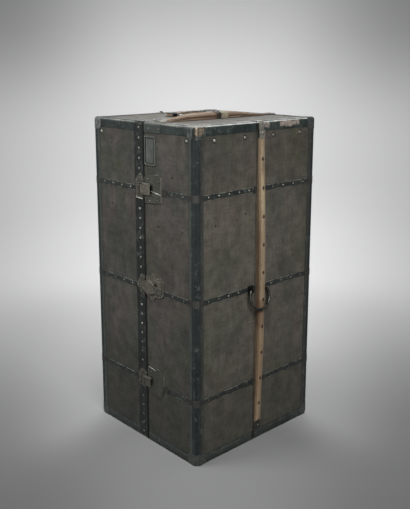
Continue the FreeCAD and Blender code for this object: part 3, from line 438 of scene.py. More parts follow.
# The pale upper and lower edges of the bands, in broken lines: partly rubbed, partly a painted highlight
def bandEdges(tree, place, z):
    patches = remap(tree, noise(tree, place, 60.0, 5.0, 0.7), 0.42, 0.6)
    mask = 0.0
    for low, high in bandHeights:
        line = maths(tree, "MAXIMUM", within(tree, z, high - 1.3 * mm, high + 1 * mm, 0.4 * mm),
                     within(tree, z, low - 1 * mm, low + 0.9 * mm, 0.4 * mm))
        mask = maths(tree, "MAXIMUM", mask, line)
    return times(tree, mask, patches, 0.85)


# Bindings: dusty over the ground and along their seat, nearly black at the very bottom as painted shade where
# the case meets the floor, and black on the joint line, the dark joint widened by painted shade. Beside the
# upright edges they are nearly black, and further out pale on the lock and back faces and brown on the sides.
def edgeTones(tree, place, x, y, z, colour):
    colour = tinted(tree, colour, rgb(64, 65, 60), remap(tree, z, 34 * mm, 26 * mm), 0.3)
    # The lowest few millimetres nearly black: painted shade where the case meets the floor
    colour = tinted(tree, colour, rgb(15, 16, 16), remap(tree, z, 10 * mm, 5 * mm), 0.8)
    upright = within(tree, z, 36 * mm, caseTop - 36 * mm, 1.5 * mm)
    awayX, awayY = fromFaces(tree, x, y)
    inner = remap(tree, maths(tree, "MAXIMUM", awayX, awayY), 17 * mm, 13 * mm)
    colour = tinted(tree, colour, rgb(28, 34, 35), times(tree, inner, upright), 0.6)
    facing = remap(tree, awayY, 2 * mm, 1 * mm)
    outer = times(tree, upright, remap(tree, awayX, 19 * mm, 23 * mm))
    streaks = noise(tree, stretched(tree, place, (1.0, 1.0, 0.3)), 60.0, 5.0, 0.7)
    pale = mixColour(tree, streaks, rgb(46, 51, 48), rgb(96, 101, 95))
    colour = tinted(tree, colour, pale, times(tree, facing, outer), 0.6)
    sideways = remap(tree, awayX, 2 * mm, 1 * mm)
    outer = times(tree, upright, remap(tree, awayY, 14 * mm, 18 * mm))
    colour = tinted(tree, colour, rgb(62, 60, 56), times(tree, sideways, outer), 0.6)
    # A black band along the joint near the top and bottom: the dark joint, widened by painted shade of the
    # gap
    joint = times(tree, within(tree, y, jointLine - 7.5 * mm, jointLine + 7.5 * mm, 1.5 * mm),
                  remap(tree, x, capStart, capStart + 5 * mm),
                  remap(tree, maths(tree, "ABSOLUTE", minus(tree, z, caseTop / 2)), 0.5, 0.505))
    colour = tinted(tree, colour, rgb(12, 12, 12), joint, 0.85)
    seat = times(tree, within(tree, z, 21 * mm, 26 * mm, 1.5 * mm),
                 remap(tree, noise(tree, place, 40.0, 5.0, 0.7), 0.35, 0.7, 0.0, 0.6))
    return tinted(tree, colour, rgb(104, 106, 99), seat)


# Two ridges and two grooves that run beside each upright edge, on both of its faces.
def beadLines(tree, place):
    x, y, z = coordinates(tree, place)
    awayX, awayY = fromFaces(tree, x, y)
    away = maths(tree, "MAXIMUM", awayX, awayY)
    ridge = maths(tree, "MAXIMUM", within(tree, away, 9 * mm, 12 * mm, 1.5 * mm),
                  within(tree, away, 25 * mm, 28 * mm, 2 * mm))
    groove = maths(tree, "MAXIMUM", within(tree, away, 2.5 * mm, 6 * mm, 1.5 * mm),
                   within(tree, away, 15 * mm, 20 * mm, 2 * mm))
    upright = within(tree, z, 0.03, caseTop - 0.03, 2 * mm)
    return times(tree, ridge, upright), times(tree, groove, upright)


# The top edges: a bare line on the very edge, partly wear and partly a painted highlight, brightest on the
# sides, then a dark line, a pale one and the dark line where the canvas begins.
def topLines(tree, place, colour):
    x, y, z = coordinates(tree, place)
    awayTop = minus(tree, caseTop + 5 * mm, z)
    awayX, awayY = fromFaces(tree, x, y)
    nearFront = plus(tree, awayTop, awayY)
    nearSide = plus(tree, awayTop, awayX)
    side = remap(tree, minus(tree, nearFront, nearSide), 0.0, 2 * mm)
    corner = minus(tree, maths(tree, "MINIMUM", nearFront, nearSide), 10 * mm)
    stir = swing(tree, place, 34.0, 6.0, 0.65)
    near = plus(tree, corner, times(tree, stir, 4 * mm))
    onTop = remap(tree, z, caseTop - 2.5 * mm, caseTop - 1.2 * mm)
    patches = noise(tree, place, 13.0, 5.0, 0.65)
    pale = times(tree, within(tree, near, 10 * mm, 21 * mm, 1.5 * mm),
                 remap(tree, patches, 0.4, 0.55, 0.1, 0.45))
    colour = tinted(tree, colour, rgb(158, 158, 148), times(tree, pale, onTop))
    dark = maths(tree, "MAXIMUM", within(tree, near, 3 * mm, 11 * mm, 1 * mm),
                 within(tree, near, 23 * mm, 29 * mm, 1 * mm))
    colour = tinted(tree, colour, rgb(30, 28, 25), times(tree, dark, onTop), 0.88)
    # The bare line is stronger on the side faces: painted highlight
    strength = remap(tree, patches, 0.3, 0.44, 0.5, 1.0)
    strength = maths(tree, "MAXIMUM", strength, times(tree, side, 0.92))
    strength = times(tree, strength, plus(tree, 0.32, times(tree, side, 0.62)))
    bare = remap(tree, plus(tree, corner, times(tree, stir, 1.6 * mm)), 1.2 * mm, 0.4 * mm)
    return tinted(tree, colour, rgb(212, 214, 208), times(tree, bare, strength))


wornAreas = [
    # X, Y, Z, softness, raggedness, colour
    ((0.235, 0.30), (0.095, 0.190), (caseTop - 0.022, caseTop - 0.005), 2.5 * mm, 0.020, rgb(140, 128, 120)),
    ((0.235, 0.30), (0.000, 0.045), (caseTop - 0.020, caseTop - 0.006), 2.5 * mm, 0.018, rgb(104, 99, 94)),
    ((0.19, 0.262), (-0.262, -0.19), (caseTop - 0.002, caseTop + 0.01), 2 * mm, 0.02, rgb(120, 116, 104)),
]


# Patches where the fibre has peeled, each with a dark rim.
def wornPlaces(tree, place, colour):
    for x, y, z, soft, ragged, tint in wornAreas:
        rim = patch(tree, place, (x, y, (z[0] - 2.5 * mm, z[1] + 2.5 * mm)), soft, ragged, 55.0)
        bare = patch(tree, place, (x, y, z), soft, ragged, 55.0)
        colour = tinted(tree, colour, rgb(34, 32, 30), rim, 0.6)
        flecks = remap(tree, noise(tree, place, 210.0, 5.0, 0.7), 0.46, 0.62)
        peeled = mixColour(tree, flecks, tint, rgb(192, 182, 170))
        colour = tinted(tree, colour, peeled, bare, 0.9)
    return colour


# Old plated steel: dull, scratched, with rust and grime in patches.
def steelMaterial(name, clean, dark, rust, polish, rustiness, metallic):
    material, tree, shader, place = newMaterial(name)
    patches = noise(tree, place, 45.0, 7.0, 0.68)
    spots = noise(tree, place, 170.0, 5.0, 0.6)
    rusty = maths(tree, "MULTIPLY", remap(tree, patches, 0.5, 0.72), rustiness * 1.6, clamp=True)
    lines = useGroup(tree, scratches, Vector=place, Density=1.0)
    colour = mixColour(tree, remap(tree, spots, 0.3, 0.7), dark, clean)
    colour = tinted(tree, colour, rust, rusty)
    colour = tinted(tree, colour, rgb(178, 176, 166), lines.outputs["Mask"], 0.6)
    feed(tree, colour, shader.inputs["Base Color"])
    feed(tree, minus(tree, metallic, times(tree, rusty, 0.6)), shader.inputs["Metallic"])
    feed(tree, remap(tree, spots, 0.3, 0.7, polish - 0.1, polish + 0.16), shader.inputs["Roughness"])
    bump(tree, shader, plus(tree, spots, patches), 0.18, 0.0004)
    return material, tree, shader, place, colour


# Corner caps and clips: the bands' ends between them are fibre, and the left top caps are paler in mottled
# patches, partly dust and partly a painted highlight
def trimMaterial():
    material, tree, shader, place, colour = steelMaterial("trimSteel", rgb(92, 96, 92), rgb(52, 56, 54),
                                                          rgb(74, 66, 56), 0.5, 0.3, 0.45)
    x, y, z = coordinates(tree, place)
    awayX, awayY = fromFaces(tree, x, y)
    middle = within(tree, z, capReach, caseTop - capReach, 1 * mm)
    crossing = times(tree, remap(tree, maths(tree, "MAXIMUM", awayX, awayY), 13 * mm, 14.5 * mm), middle)
    fibre = mixColour(tree, noise(tree, place, 90.0, 5.0, 0.7), rgb(32, 37, 35), rgb(64, 68, 63))
    colour = tinted(tree, colour, fibre, crossing)
    colour = tinted(tree, colour, rgb(62, 58, 55), middle, 0.55)
    high = remap(tree, z, caseTop - capReach, caseTop - capReach + 5 * mm)
    leftCaps = times(tree, remap(tree, x, -capStart, -capStart - 5 * mm), high)
    # Mottled pale patches on the left top caps: dust and painted highlight
    dustAndHighlight = remap(tree, noise(tree, place, 60.0, 5.0, 0.7), 0.4, 0.64, 0.15, 0.85)
    colour = tinted(tree, colour, rgb(132, 137, 134), times(tree, leftCaps, dustAndHighlight))
    near = times(tree, remap(tree, x, capStart, capStart + 5 * mm), high,
                 remap(tree, y, -capStart, -capStart - 5 * mm))
    feed(tree, nearCap(tree, place, near, colour), shader.inputs["Base Color"])
    return material


barePatch = {"in": 15 * mm, "down": 14 * mm, "halfWidth": 18 * mm, "halfHeight": 17 * mm}


# The near top cap is mottled and cracked beside its edge on the lock face. On the side face it has
# lost its paint in a round patch, and its top is rubbed pale.
def nearCap(tree, place, near, colour):
    x, y, z = coordinates(tree, place)
    awayX, awayY = fromFaces(tree, x, y)
    ragged = times(tree, swing(tree, place, 50.0, 6.0, 0.75), 34 * mm)
    spots = remap(tree, noise(tree, place, 80.0, 6.0, 0.75), 0.4, 0.66)
    colour = tinted(tree, colour, mixColour(tree, spots, rgb(44, 51, 50), rgb(104, 112, 108)), near, 0.85)
    ahead = times(tree, near, remap(tree, awayY, 3 * mm, 1.5 * mm))
    crack = within(tree, plus(tree, awayX, times(tree, ragged, 0.5)), 2 * mm, 15 * mm, 2 * mm)
    colour = tinted(tree, colour, rgb(34, 31, 29), times(tree, ahead, crack), 0.85)
    flecks = remap(tree, noise(tree, place, 130.0, 5.0, 0.75), 0.4, 0.62)
    pale = mixColour(tree, flecks, rgb(74, 64, 54), rgb(160, 144, 124))
    beside = times(tree, near, remap(tree, awayX, 7 * mm, 3 * mm))
    across = maths(tree, "DIVIDE", minus(tree, awayY, barePatch["in"]), barePatch["halfWidth"])
    down = maths(tree, "DIVIDE", minus(tree, caseTop - barePatch["down"], z), barePatch["halfHeight"])
    reach = maths(tree, "SQRT", plus(tree, times(tree, across, across), times(tree, down, down)))
    bare = remap(tree, plus(tree, reach, times(tree, ragged, 36.0)), 1.08, 0.86)
    colour = tinted(tree, colour, pale, times(tree, beside, bare), 0.92)
    rim = times(tree, near, within(tree, z, caseTop - 3.5 * mm, caseTop + 0.4 * mm, 1 * mm))
    return tinted(tree, colour, rgb(176, 174, 164), rim, 0.7)


# Fittings of the runners: pale steel, the top edge plate painted like the bindings, the foot noses
# and the far top nose nearly black, the ferrule ahead of the joint brown, with a black band beside it: the
# joint gap and its painted shade
def fittingsMaterial():
    material, tree, shader, place, colour = steelMaterial("paleSteel", rgb(152, 149, 138), rgb(104, 101, 93),
                                                          rgb(106, 92, 76), 0.48, 0.3, 0.5)
    x, y, z = coordinates(tree, place)
    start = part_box("top_runner")[0].y
    plate = remap(tree, y, start - 1.5 * mm, start - 2.5 * mm)
    paint = mixColour(tree, noise(tree, place, 60.0, 6.0, 0.7), rgb(38, 45, 43), rgb(80, 87, 82))
    colour = tinted(tree, colour, paint, plate, 0.92)
    lip = times(tree, plate, within(tree, z, caseTop - 3.5 * mm, caseTop + 0.3 * mm, 1 * mm))
    colour = tinted(tree, colour, rgb(150, 150, 142), lip, 0.6)
    colour = tinted(tree, colour, rgb(46, 45, 40), remap(tree, z, 90 * mm, 85 * mm), 0.9)
    onTop = remap(tree, x, halfWidth - 30 * mm, halfWidth - 32 * mm)
    ferrule = times(tree, within(tree, y, -44 * mm, -6 * mm, 0.5 * mm), onTop)
    colour = tinted(tree, colour, rgb(48, 36, 30), ferrule, 0.85)
    # Near-black beside the side plate: the joint gap and its painted shade
    gap = times(tree, remap(tree, x, halfWidth - 12 * mm, halfWidth - 10 * mm),
                within(tree, y, -16 * mm, -5.5 * mm, 0.8 * mm), remap(tree, z, 1.0, 1.01))
    colour = tinted(tree, colour, rgb(12, 11, 10), gap, 0.95)
    far = times(tree, remap(tree, y, 0.2, 0.21), onTop)
    colour = tinted(tree, colour, rgb(52, 50, 42), far, 0.8)
    feed(tree, colour, shader.inputs["Base Color"])
    return material


# Hasps and lock: pale dirty steel, duller on the lock and dullest on the lower hasp
def haspMaterial():
    material, tree, shader, place, colour = steelMaterial("haspSteel", rgb(132, 130, 118), rgb(78, 76, 68),
                                                          rgb(88, 76, 60), 0.5, 0.4, 0.5)
    z = coordinates(tree, place)[2]
    colour = tinted(tree, colour, rgb(62, 62, 54), remap(tree, z, 0.4, 0.3), 0.55)
    colour = tinted(tree, colour, rgb(70, 68, 60), within(tree, z, 0.4, 0.7, 10 * mm), 0.25)
    feed(tree, colour, shader.inputs["Base Color"])
    return material


# Catch plates: paler along the top and right edges, with a painted shadow beside each hasp where it shuts
def plateMaterial():
    material, tree, shader, place, colour = steelMaterial("plateSteel", rgb(90, 91, 82), rgb(58, 59, 52),
                                                          rgb(74, 68, 54), 0.52, 0.3, 0.4)
    x, y, z = coordinates(tree, place)
    strayed = plus(tree, x, times(tree, swing(tree, place, 90.0, 4.0, 0.7), 9 * mm))
    for side in ("upper", "lower"):
        low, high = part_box(side + "_catch_plate")
        right = times(tree, within(tree, x, high.x - 1.8 * mm, high.x + 1 * mm, 0.4 * mm),
                      within(tree, z, low.z, high.z, 1 * mm))
        over = times(tree, within(tree, z, high.z - 1.8 * mm, high.z + 1 * mm, 0.4 * mm),
                     within(tree, x, low.x, high.x, 1 * mm))
        colour = tinted(tree, colour, rgb(140, 140, 128), maths(tree, "MAXIMUM", right, over), 0.6)
        end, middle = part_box(side + "_hasp")[1].x, (low.z + high.z) / 2
        # A near-black patch beside each hasp: painted shadow cast by the hasp
        haspShadow = times(tree, within(tree, strayed, end - 4 * mm, end + 10 * mm, 3 * mm),
                       within(tree, z, middle - 15 * mm, middle + 13 * mm, 5 * mm))
        colour = tinted(tree, colour, rgb(14, 14, 12), haspShadow, 0.85)
    colour = tinted(tree, colour, rgb(56, 58, 52), remap(tree, z, 0.4, 0.3), 0.25)
    feed(tree, colour, shader.inputs["Base Color"])
    return material


# The label frame: paler along its outer edge and dark along the inside of its border
def frameMaterial():
    material, tree, shader, place, colour = steelMaterial("frameSteel", rgb(98, 103, 96), rgb(64, 68, 63),
                                                          rgb(66, 64, 54), 0.5, 0.2, 0.35)
    x, y, z = coordinates(tree, place)
    low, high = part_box("label_holder")
    awayX = minus(tree, (high.x - low.x) / 2, maths(tree, "ABSOLUTE", minus(tree, x, (high.x + low.x) / 2)))
    awayZ = minus(tree, (high.z - low.z) / 2, maths(tree, "ABSOLUTE", minus(tree, z, (high.z + low.z) / 2)))
    away = maths(tree, "MINIMUM", awayX, awayZ)
    colour = tinted(tree, colour, rgb(118, 120, 112), remap(tree, away, 2.4 * mm, 1.4 * mm), 0.4)
    colour = tinted(tree, colour, rgb(24, 26, 24), remap(tree, away, 4.2 * mm, 5.4 * mm), 0.85)
    feed(tree, colour, shader.inputs["Base Color"])
    return material


# Steel heads, duller in patches and near the ground, with the side runners' own nails rusted brown
def rivetMaterial():
    material, tree, shader, place, colour = steelMaterial("rivetSteel", rgb(186, 184, 172),
                                                          rgb(124, 122, 113), rgb(96, 80, 62), 0.4, 0.25, 0.6)
    x, y, z = coordinates(tree, place)
    out = remap(tree, maths(tree, "ABSOLUTE", x), halfWidth + 1.5 * mm, halfWidth + 3 * mm)
    onRunner = times(tree, out, within(tree, y, -9 * mm, 21 * mm, 0.5 * mm))
    brown = times(tree, onRunner, within(tree, z, 0.07, caseTop - 0.065, 1 * mm))
    dull = remap(tree, noise(tree, place, 13.0, 1.0), 0.47, 0.53)
    low = remap(tree, z, 0.5, 0.3, 0.0, 0.78)
    dull = maths(tree, "MAXIMUM", times(tree, dull, 0.5), low)
    colour = tinted(tree, colour, rgb(52, 52, 48), dull)
    feed(tree, tinted(tree, colour, rgb(62, 40, 26), brown), shader.inputs["Base Color"])
    feed(tree, minus(tree, 0.6, times(tree, brown, 0.5)), shader.inputs["Metallic"])
    return material


# The side runners, of wood whose grain runs up
def sideRunnerMaterial():
    pale, mid, dark = rgb(178, 160, 132), rgb(148, 128, 102), rgb(86, 66, 50)
    material, tree, shader, place = newMaterial("uprightRunnerWood", Specular_IOR_Level=0.35)
    fibre = useGroup(tree, woodGrain, Vector=place, Scale=1.0)
    lines = useGroup(tree, scratches, Vector=place, Density=0.8)
    grain = fibre.outputs["Grain"]
    colour = mixColour(tree, remap(tree, grain, 0.36, 0.64), mid, pale)
    colour = tinted(tree, colour, dark, fibre.outputs["Patch"], 0.45)
    colour = tinted(tree, colour, dark, fibre.outputs["Pore"], 0.6)
    colour = tinted(tree, colour, dark, lines.outputs["Mask"], 0.7)
    feed(tree, runnerDirtAndShade(tree, place, colour), shader.inputs["Base Color"])
    feed(tree, remap(tree, grain, 0.3, 0.7, 0.6, 0.46), shader.inputs["Roughness"])
    bump(tree, shader, minus(tree, grain, times(tree, fibre.outputs["Pore"], 0.4)), 0.3, 0.0006)
    return material


# Side runners: redder and darker towards the foot, with painted shade along one edge and a painted highlight
# along the other.
def runnerDirtAndShade(tree, place, colour):
    x, y, z = coordinates(tree, place)
    foot = remap(tree, plus(tree, z, times(tree, noise(tree, place, 20.0, 4.0), 0.16)), 0.60, 0.42)
    colour = tinted(tree, colour, rgb(140, 108, 76), foot, 0.25)
    edge = plus(tree, y, times(tree, noise(tree, place, 60.0, 5.0, 0.6), 7 * mm))
    # Darker along one edge: painted shade on the side of the runner turned from the light
    shadedEdge = remap(tree, edge, 3 * mm, -3 * mm)
    colour = tinted(tree, colour, rgb(74, 54, 40), shadedEdge, 0.5)
    # A pale line along the other edge: painted highlight, broken up by noise
    highlightBreaks = noise(tree, stretched(tree, place, (30.0, 30.0, 8.0)), 1.0, 4.0)
    litEdge = times(tree, within(tree, y, 14.5 * mm, 17.5 * mm, 1.5 * mm), remap(tree, highlightBreaks, 0.35, 0.6))
    colour = tinted(tree, colour, rgb(214, 200, 176), litEdge, 0.7)
    strayed = plus(tree, z, times(tree, noise(tree, place, 30.0, 4.0), 0.05))
    below = within(tree, strayed, 0.445, 0.535, 8 * mm)
    colour = tinted(tree, colour, rgb(92, 66, 50), below, 0.5)
    smudge = remap(tree, noise(tree, stretched(tree, place, (1.0, 1.0, 0.4)), 42.0, 6.0, 0.7), 0.52, 0.7)
    colour = tinted(tree, colour, rgb(84, 68, 52), smudge, 0.55)
    return tinted(tree, colour, rgb(44, 32, 25), nailStains(tree, place), 0.8)


# The nails along a side runner
nails = {"pitch": 94 * mm, "margin": 30 * mm, "stain": 8.2 * mm, "core": 5.4 * mm}


# Rust that has run round each nail of a side runner
def nailStains(tree, place):
    x, y, z = coordinates(tree, place)
    low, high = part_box("right_side_runner")
    pitch, margin = nails["pitch"], nails["margin"]
    count = int((high.z - low.z - 2 * margin) / pitch)
    first = (high.z + low.z) / 2 - pitch * (count - 1) / 2
    turn = maths(tree, "FRACT", plus(tree, maths(tree, "DIVIDE", minus(tree, z, first), pitch), 0.5))
    along = times(tree, minus(tree, turn, 0.5), pitch * 0.8)
    across = minus(tree, y, (low.y + high.y) / 2)
    away = maths(tree, "SQRT", plus(tree, times(tree, along, along), times(tree, across, across)))
    away = plus(tree, away, times(tree, noise(tree, place, 150.0, 4.0, 0.7), 3 * mm))
    return remap(tree, away, nails["stain"], nails["core"])


# The top runner, greyer from dust, with dark worn grooves along it.
def topRunnerMaterial():
    material, tree, shader, place = newMaterial("topRunnerWood", Specular_IOR_Level=0.3)
    turned = stretched(tree, place, (1.0, 1.0, 1.0), (quarter, 0, 0))
    fibre = useGroup(tree, woodGrain, Vector=turned, Scale=1.0)
    colour = mixColour(tree, remap(tree, fibre.outputs["Grain"], 0.36, 0.64), rgb(132, 112, 92),
                       rgb(164, 148, 128))
    colour = tinted(tree, colour, rgb(96, 78, 62), fibre.outputs["Patch"], 0.5)
    x, y, z = coordinates(tree, place)
    wander = times(tree, swing(tree, stretched(tree, place, (1.0, 6.0, 1.0)), 2.0, 3.0), 5 * mm)
    line = plus(tree, x, wander)
    grooves = maths(tree, "MAXIMUM", within(tree, line, 86.0 * mm, 87.6 * mm, 0.8 * mm),
                    within(tree, line, 73.0 * mm, 74.2 * mm, 0.8 * mm))
    colour = tinted(tree, colour, rgb(62, 44, 34), grooves, 0.8)
    threads = remap(tree, noise(tree, stretched(tree, place, (1.0, 0.03, 1.0)), 150.0, 5.0, 0.75), 0.5, 0.6)
    colour = tinted(tree, colour, rgb(98, 72, 56), threads, 0.6)
    splits = noise(tree, stretched(tree, place, (1.0, 0.02, 1.0), shift=(7.0, 0.0, 3.0)), 90.0, 3.0, 0.6)
    colour = tinted(tree, colour, rgb(54, 36, 28), remap(tree, splits, 0.585, 0.6), 0.8)
    gap = remap(tree, maths(tree, "ABSOLUTE", minus(tree, y, jointLine)), 30 * mm, 12 * mm)
    colour = tinted(tree, colour, rgb(70, 52, 38), gap, 0.7)
    feed(tree, colour, shader.inputs["Base Color"])
    shader.inputs["Roughness"].default_value = 0.6
    bump(tree, shader, minus(tree, fibre.outputs["Grain"], grooves), 0.35, 0.0008)
    return material


# Lining paper with a plain small check, foxed with age.
def liningMaterial():
    material, tree, shader, place = newMaterial("liningPaper", Specular_IOR_Level=0.2, Roughness=0.8)
    parts = addNode(tree, "ShaderNodeSeparateXYZ", {"Vector": place})
    stripes = []
    for axis in "XYZ":
        cycle = maths(tree, "FRACT", times(tree, parts.outputs[axis], 1 / 0.022))
        offMiddle = maths(tree, "ABSOLUTE", minus(tree, cycle, 0.5))
        stripes.append(remap(tree, offMiddle, 0.40, 0.44))
    grid = maths(tree, "MAXIMUM", maths(tree, "MAXIMUM", stripes[0], stripes[1]), stripes[2])
    dirt = useGroup(tree, grime, Vector=place, Size=9.0)
    colour = mixColour(tree, times(tree, grid, 0.5), rgb(196, 184, 152), rgb(122, 128, 104))
    colour = tinted(tree, colour, rgb(150, 128, 92), dirt.outputs["Stain"], 0.4)
    feed(tree, colour, shader.inputs["Base Color"])
    bump(tree, shader, noise(tree, place, 220.0, 4.0), 0.15, 0.0004)
    return material


# Boards covered in book cloth, with metal pulls
def drawerMaterial():
    material, tree, shader, place = newMaterial("drawerCloth", Specular_IOR_Level=0.3)
    cloth = useGroup(tree, weave, Vector=place, Threads=500.0)
    dirt = useGroup(tree, grime, Vector=place, Size=7.0)
    colour = mixColour(tree, dirt.outputs["Stain"], rgb(92, 84, 66), rgb(122, 112, 88))
    colour = tinted(tree, colour, rgb(70, 62, 48), cloth.outputs["Slub"], 0.4)
    colour = tinted(tree, colour, rgb(156, 146, 118), dirt.outputs["Rub"], 0.4)
    pull = remap(tree, coordinates(tree, place)[0], -3.4 * mm, -3.2 * mm)
    metal = mixColour(tree, noise(tree, place, 200.0, 4.0), rgb(150, 132, 88), rgb(96, 82, 52))
    feed(tree, tinted(tree, colour, metal, pull), shader.inputs["Base Color"])
    feed(tree, pull, shader.inputs["Metallic"])
    feed(tree, remap(tree, pull, 0.0, 1.0, 0.72, 0.34), shader.inputs["Roughness"])
    bump(tree, shader, times(tree, cloth.outputs["Height"], minus(tree, 1.0, pull)), 0.4, 0.0003)
    return material


def leatherMaterial():
    material, tree, shader, place = newMaterial("handleLeather", Specular_IOR_Level=0.4)
    cells = addNode(tree, "ShaderNodeTexVoronoi", {"Vector": place, "Scale": 620.0},
                    feature="DISTANCE_TO_EDGE")
    dirt = useGroup(tree, grime, Vector=place, Size=20.0)
    colour = mixColour(tree, dirt.outputs["Stain"], rgb(94, 78, 64), rgb(132, 114, 96))
    colour = tinted(tree, colour, rgb(160, 142, 122), dirt.outputs["Rub"], 0.6)
    feed(tree, colour, shader.inputs["Base Color"])
    feed(tree, remap(tree, dirt.outputs["Rub"], 0.0, 1.0, 0.5, 0.66), shader.inputs["Roughness"])
    bump(tree, shader, remap(tree, cells.outputs["Distance"], 0.0, 0.12), 0.35, 0.0004)
    return material


# How far below their channel the hangers' wooden part begins
hookDrop = 46 * mm


# Varnished wood, with a bright wire hook.
def hangerMaterial():
    material, tree, shader, place = newMaterial("hangerWood", Specular_IOR_Level=0.4)
    turned = stretched(tree, place, (1.0, 1.0, 1.0), (quarter, 0, 0))
    fibre = useGroup(tree, woodGrain, Vector=turned, Scale=1.0)
    colour = mixColour(tree, remap(tree, fibre.outputs["Grain"], 0.36, 0.64), rgb(142, 98, 56),
                       rgb(178, 134, 84))
    colour = tinted(tree, colour, rgb(84, 52, 28), fibre.outputs["Pore"], 0.6)
    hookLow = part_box("hanger_channel")[0].z - hookDrop
    hook = remap(tree, coordinates(tree, place)[2], hookLow, hookLow + 0.2 * mm)
    feed(tree, tinted(tree, colour, rgb(170, 168, 160), hook), shader.inputs["Base Color"])
    feed(tree, hook, shader.inputs["Metallic"])
    feed(tree, remap(tree, hook, 0.0, 1.0, 0.34, 0.28), shader.inputs["Roughness"])
    bump(tree, shader, fibre.outputs["Grain"], 0.2, 0.0004)
    return material


def cardMaterial():
    material, tree, shader, place = newMaterial("labelCard", Specular_IOR_Level=0.2, Roughness=0.75)
    dirt = useGroup(tree, grime, Vector=place, Size=26.0)
    colour = mixColour(tree, dirt.outputs["Stain"], rgb(80, 84, 79), rgb(98, 102, 96))
    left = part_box("label_holder")[0].x
    edge = remap(tree, coordinates(tree, place)[0], left + 14 * mm, left + 8 * mm)
    colour = tinted(tree, colour, rgb(128, 134, 124), edge, 0.5)
    feed(tree, colour, shader.inputs["Base Color"])
    bump(tree, shader, noise(tree, place, 300.0, 4.0), 0.2, 0.0003)
    return material


# Plain steels: clean, dark and rusty colours, polish, rustiness and how metallic each is
plainSteels = {
    "hardwareSteel": (rgb(112, 110, 100), rgb(64, 63, 57), rgb(80, 68, 53), 0.52, 0.3, 0.6),
    "hingeSteel": (rgb(100, 98, 90), rgb(56, 54, 50), rgb(76, 54, 38), 0.44, 0.45, 0.8),
    "ringSteel": (rgb(96, 95, 90), rgb(30, 30, 29), rgb(52, 42, 34), 0.3, 0.3, 0.9),
    "blackIron": (rgb(44, 43, 40), rgb(20, 20, 19), rgb(44, 36, 28), 0.42, 0.3, 0.8),
    "shadowIron": (rgb(16, 16, 15), rgb(8, 8, 8), rgb(14, 12, 10), 0.7, 0.2, 0.1),
    "creamSteel": (rgb(176, 167, 140), rgb(104, 96, 76), rgb(92, 76, 56), 0.55, 0.6, 0.15),
    "brightSteel": (rgb(214, 212, 202), rgb(160, 158, 148), rgb(132, 122, 104), 0.42, 0.15, 0.35),
    # The rings round the heads: painted shade, partly dirt
    "headShadeAndDirt": (rgb(40, 39, 35), rgb(22, 22, 20), rgb(44, 36, 28), 0.7, 0.3, 0.05),
    "darkIron": (rgb(34, 31, 28), rgb(16, 15, 14), rgb(52, 34, 24), 0.5, 0.4, 0.5),
    "railSteel": (rgb(176, 174, 166), rgb(126, 124, 118), rgb(98, 78, 56), 0.28, 0.15, 0.9),
    "oldBrass": (rgb(84, 76, 56), rgb(36, 33, 25), rgb(40, 36, 28), 0.42, 0.3, 0.8),
}
steels = {name: steelMaterial(name, *tones)[0] for name, tones in plainSteels.items()}
canvas = canvasMaterial()
bindingFibre = fibreMaterial("bindingFibre", rgb(30, 38, 38), rgb(52, 61, 58), rgb(112, 112, 102), 0.005,
                             beads=True)
bandFibre = fibreMaterial("bandFibre", rgb(30, 35, 33), rgb(50, 54, 50), rgb(104, 104, 94), 0.004,
                          edged=True)
stripFibre = fibreMaterial("stripFibre", rgb(22, 26, 26), rgb(38, 43, 41), rgb(110, 110, 100), 0.005,
                           seam=True)
trimSteel = trimMaterial()
paleSteel = fittingsMaterial()
plateSteel = plateMaterial()
haspSteel = haspMaterial()
rivetSteel = rivetMaterial()
frameSteel = frameMaterial()
uprightWood = sideRunnerMaterial()
levelWood = topRunnerMaterial()
hangerWood = hangerMaterial()
lining = liningMaterial()
drawerCloth = drawerMaterial()
leather = leatherMaterial()
card = cardMaterial()

finishes = {
    "canvas": canvas, "fibre_binding": bindingFibre, "fibre_band": bandFibre, "steel_trim": trimSteel,
    "rivets": rivetSteel, "hardware": steels["hardwareSteel"], "brass": steels["oldBrass"],
    "label_frame": frameSteel, "hinge_steel": steels["hingeSteel"], "black_iron": steels["blackIron"],
    "runner_wood": uprightWood, "lining": lining, "drawer_board": drawerCloth,
    "rail_steel": steels["railSteel"], "hanger_wood": hangerWood, "handle_leather": leather,
}
ownFinish = {
    "top_runner": levelWood, "seam_strip": stripFibre, "runner_fittings": paleSteel,
    "left_runner_fittings": paleSteel, "upper_catch_plate": plateSteel, "lower_catch_plate": plateSteel,
    "right_bail": steels["ringSteel"], "left_bail": steels["ringSteel"], "seam_tongue": steels["shadowIron"],
    "upper_hasp": haspSteel, "lock_hasp": haspSteel, "lower_hasp": haspSteel, "lock_plate": haspSteel,
    "lock_case": haspSteel, "side_seam_ties": steels["shadowIron"],
}


# Every CAD node takes the finish of its slot, or its own.
def dressNodes():
    for part in frame["record"]["subparts"]:
        name = part["node"]
        piece = nodes[name]
        material = ownFinish.get(name, finishes[part["material_slot"]])
        if not piece.material_slots:
            piece.data.materials.append(material)
        for materialSlot in piece.material_slots:
            materialSlot.material = material


dressNodes()
print("nodes dressed")


# Turns a bmesh into an object at the origin that rides on a body.
def finishPiece(mesh, name, material, body, smooth=False):
    bmesh.ops.remove_doubles(mesh, verts=mesh.verts, dist=1e-6)
    bmesh.ops.recalc_face_normals(mesh, faces=mesh.faces)
    data = bpy.data.meshes.new(name)
    mesh.to_mesh(data)
    mesh.free()
    piece = bpy.data.objects.new(name, data)
    bpy.context.scene.collection.objects.link(piece)
    data.materials.append(material)
    if smooth:
        data.shade_smooth()
    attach(piece, body)
    return piece


labelCard = {"thick": 0.5 * mm, "inset": 7.4 * mm, "behind": 1.1 * mm}


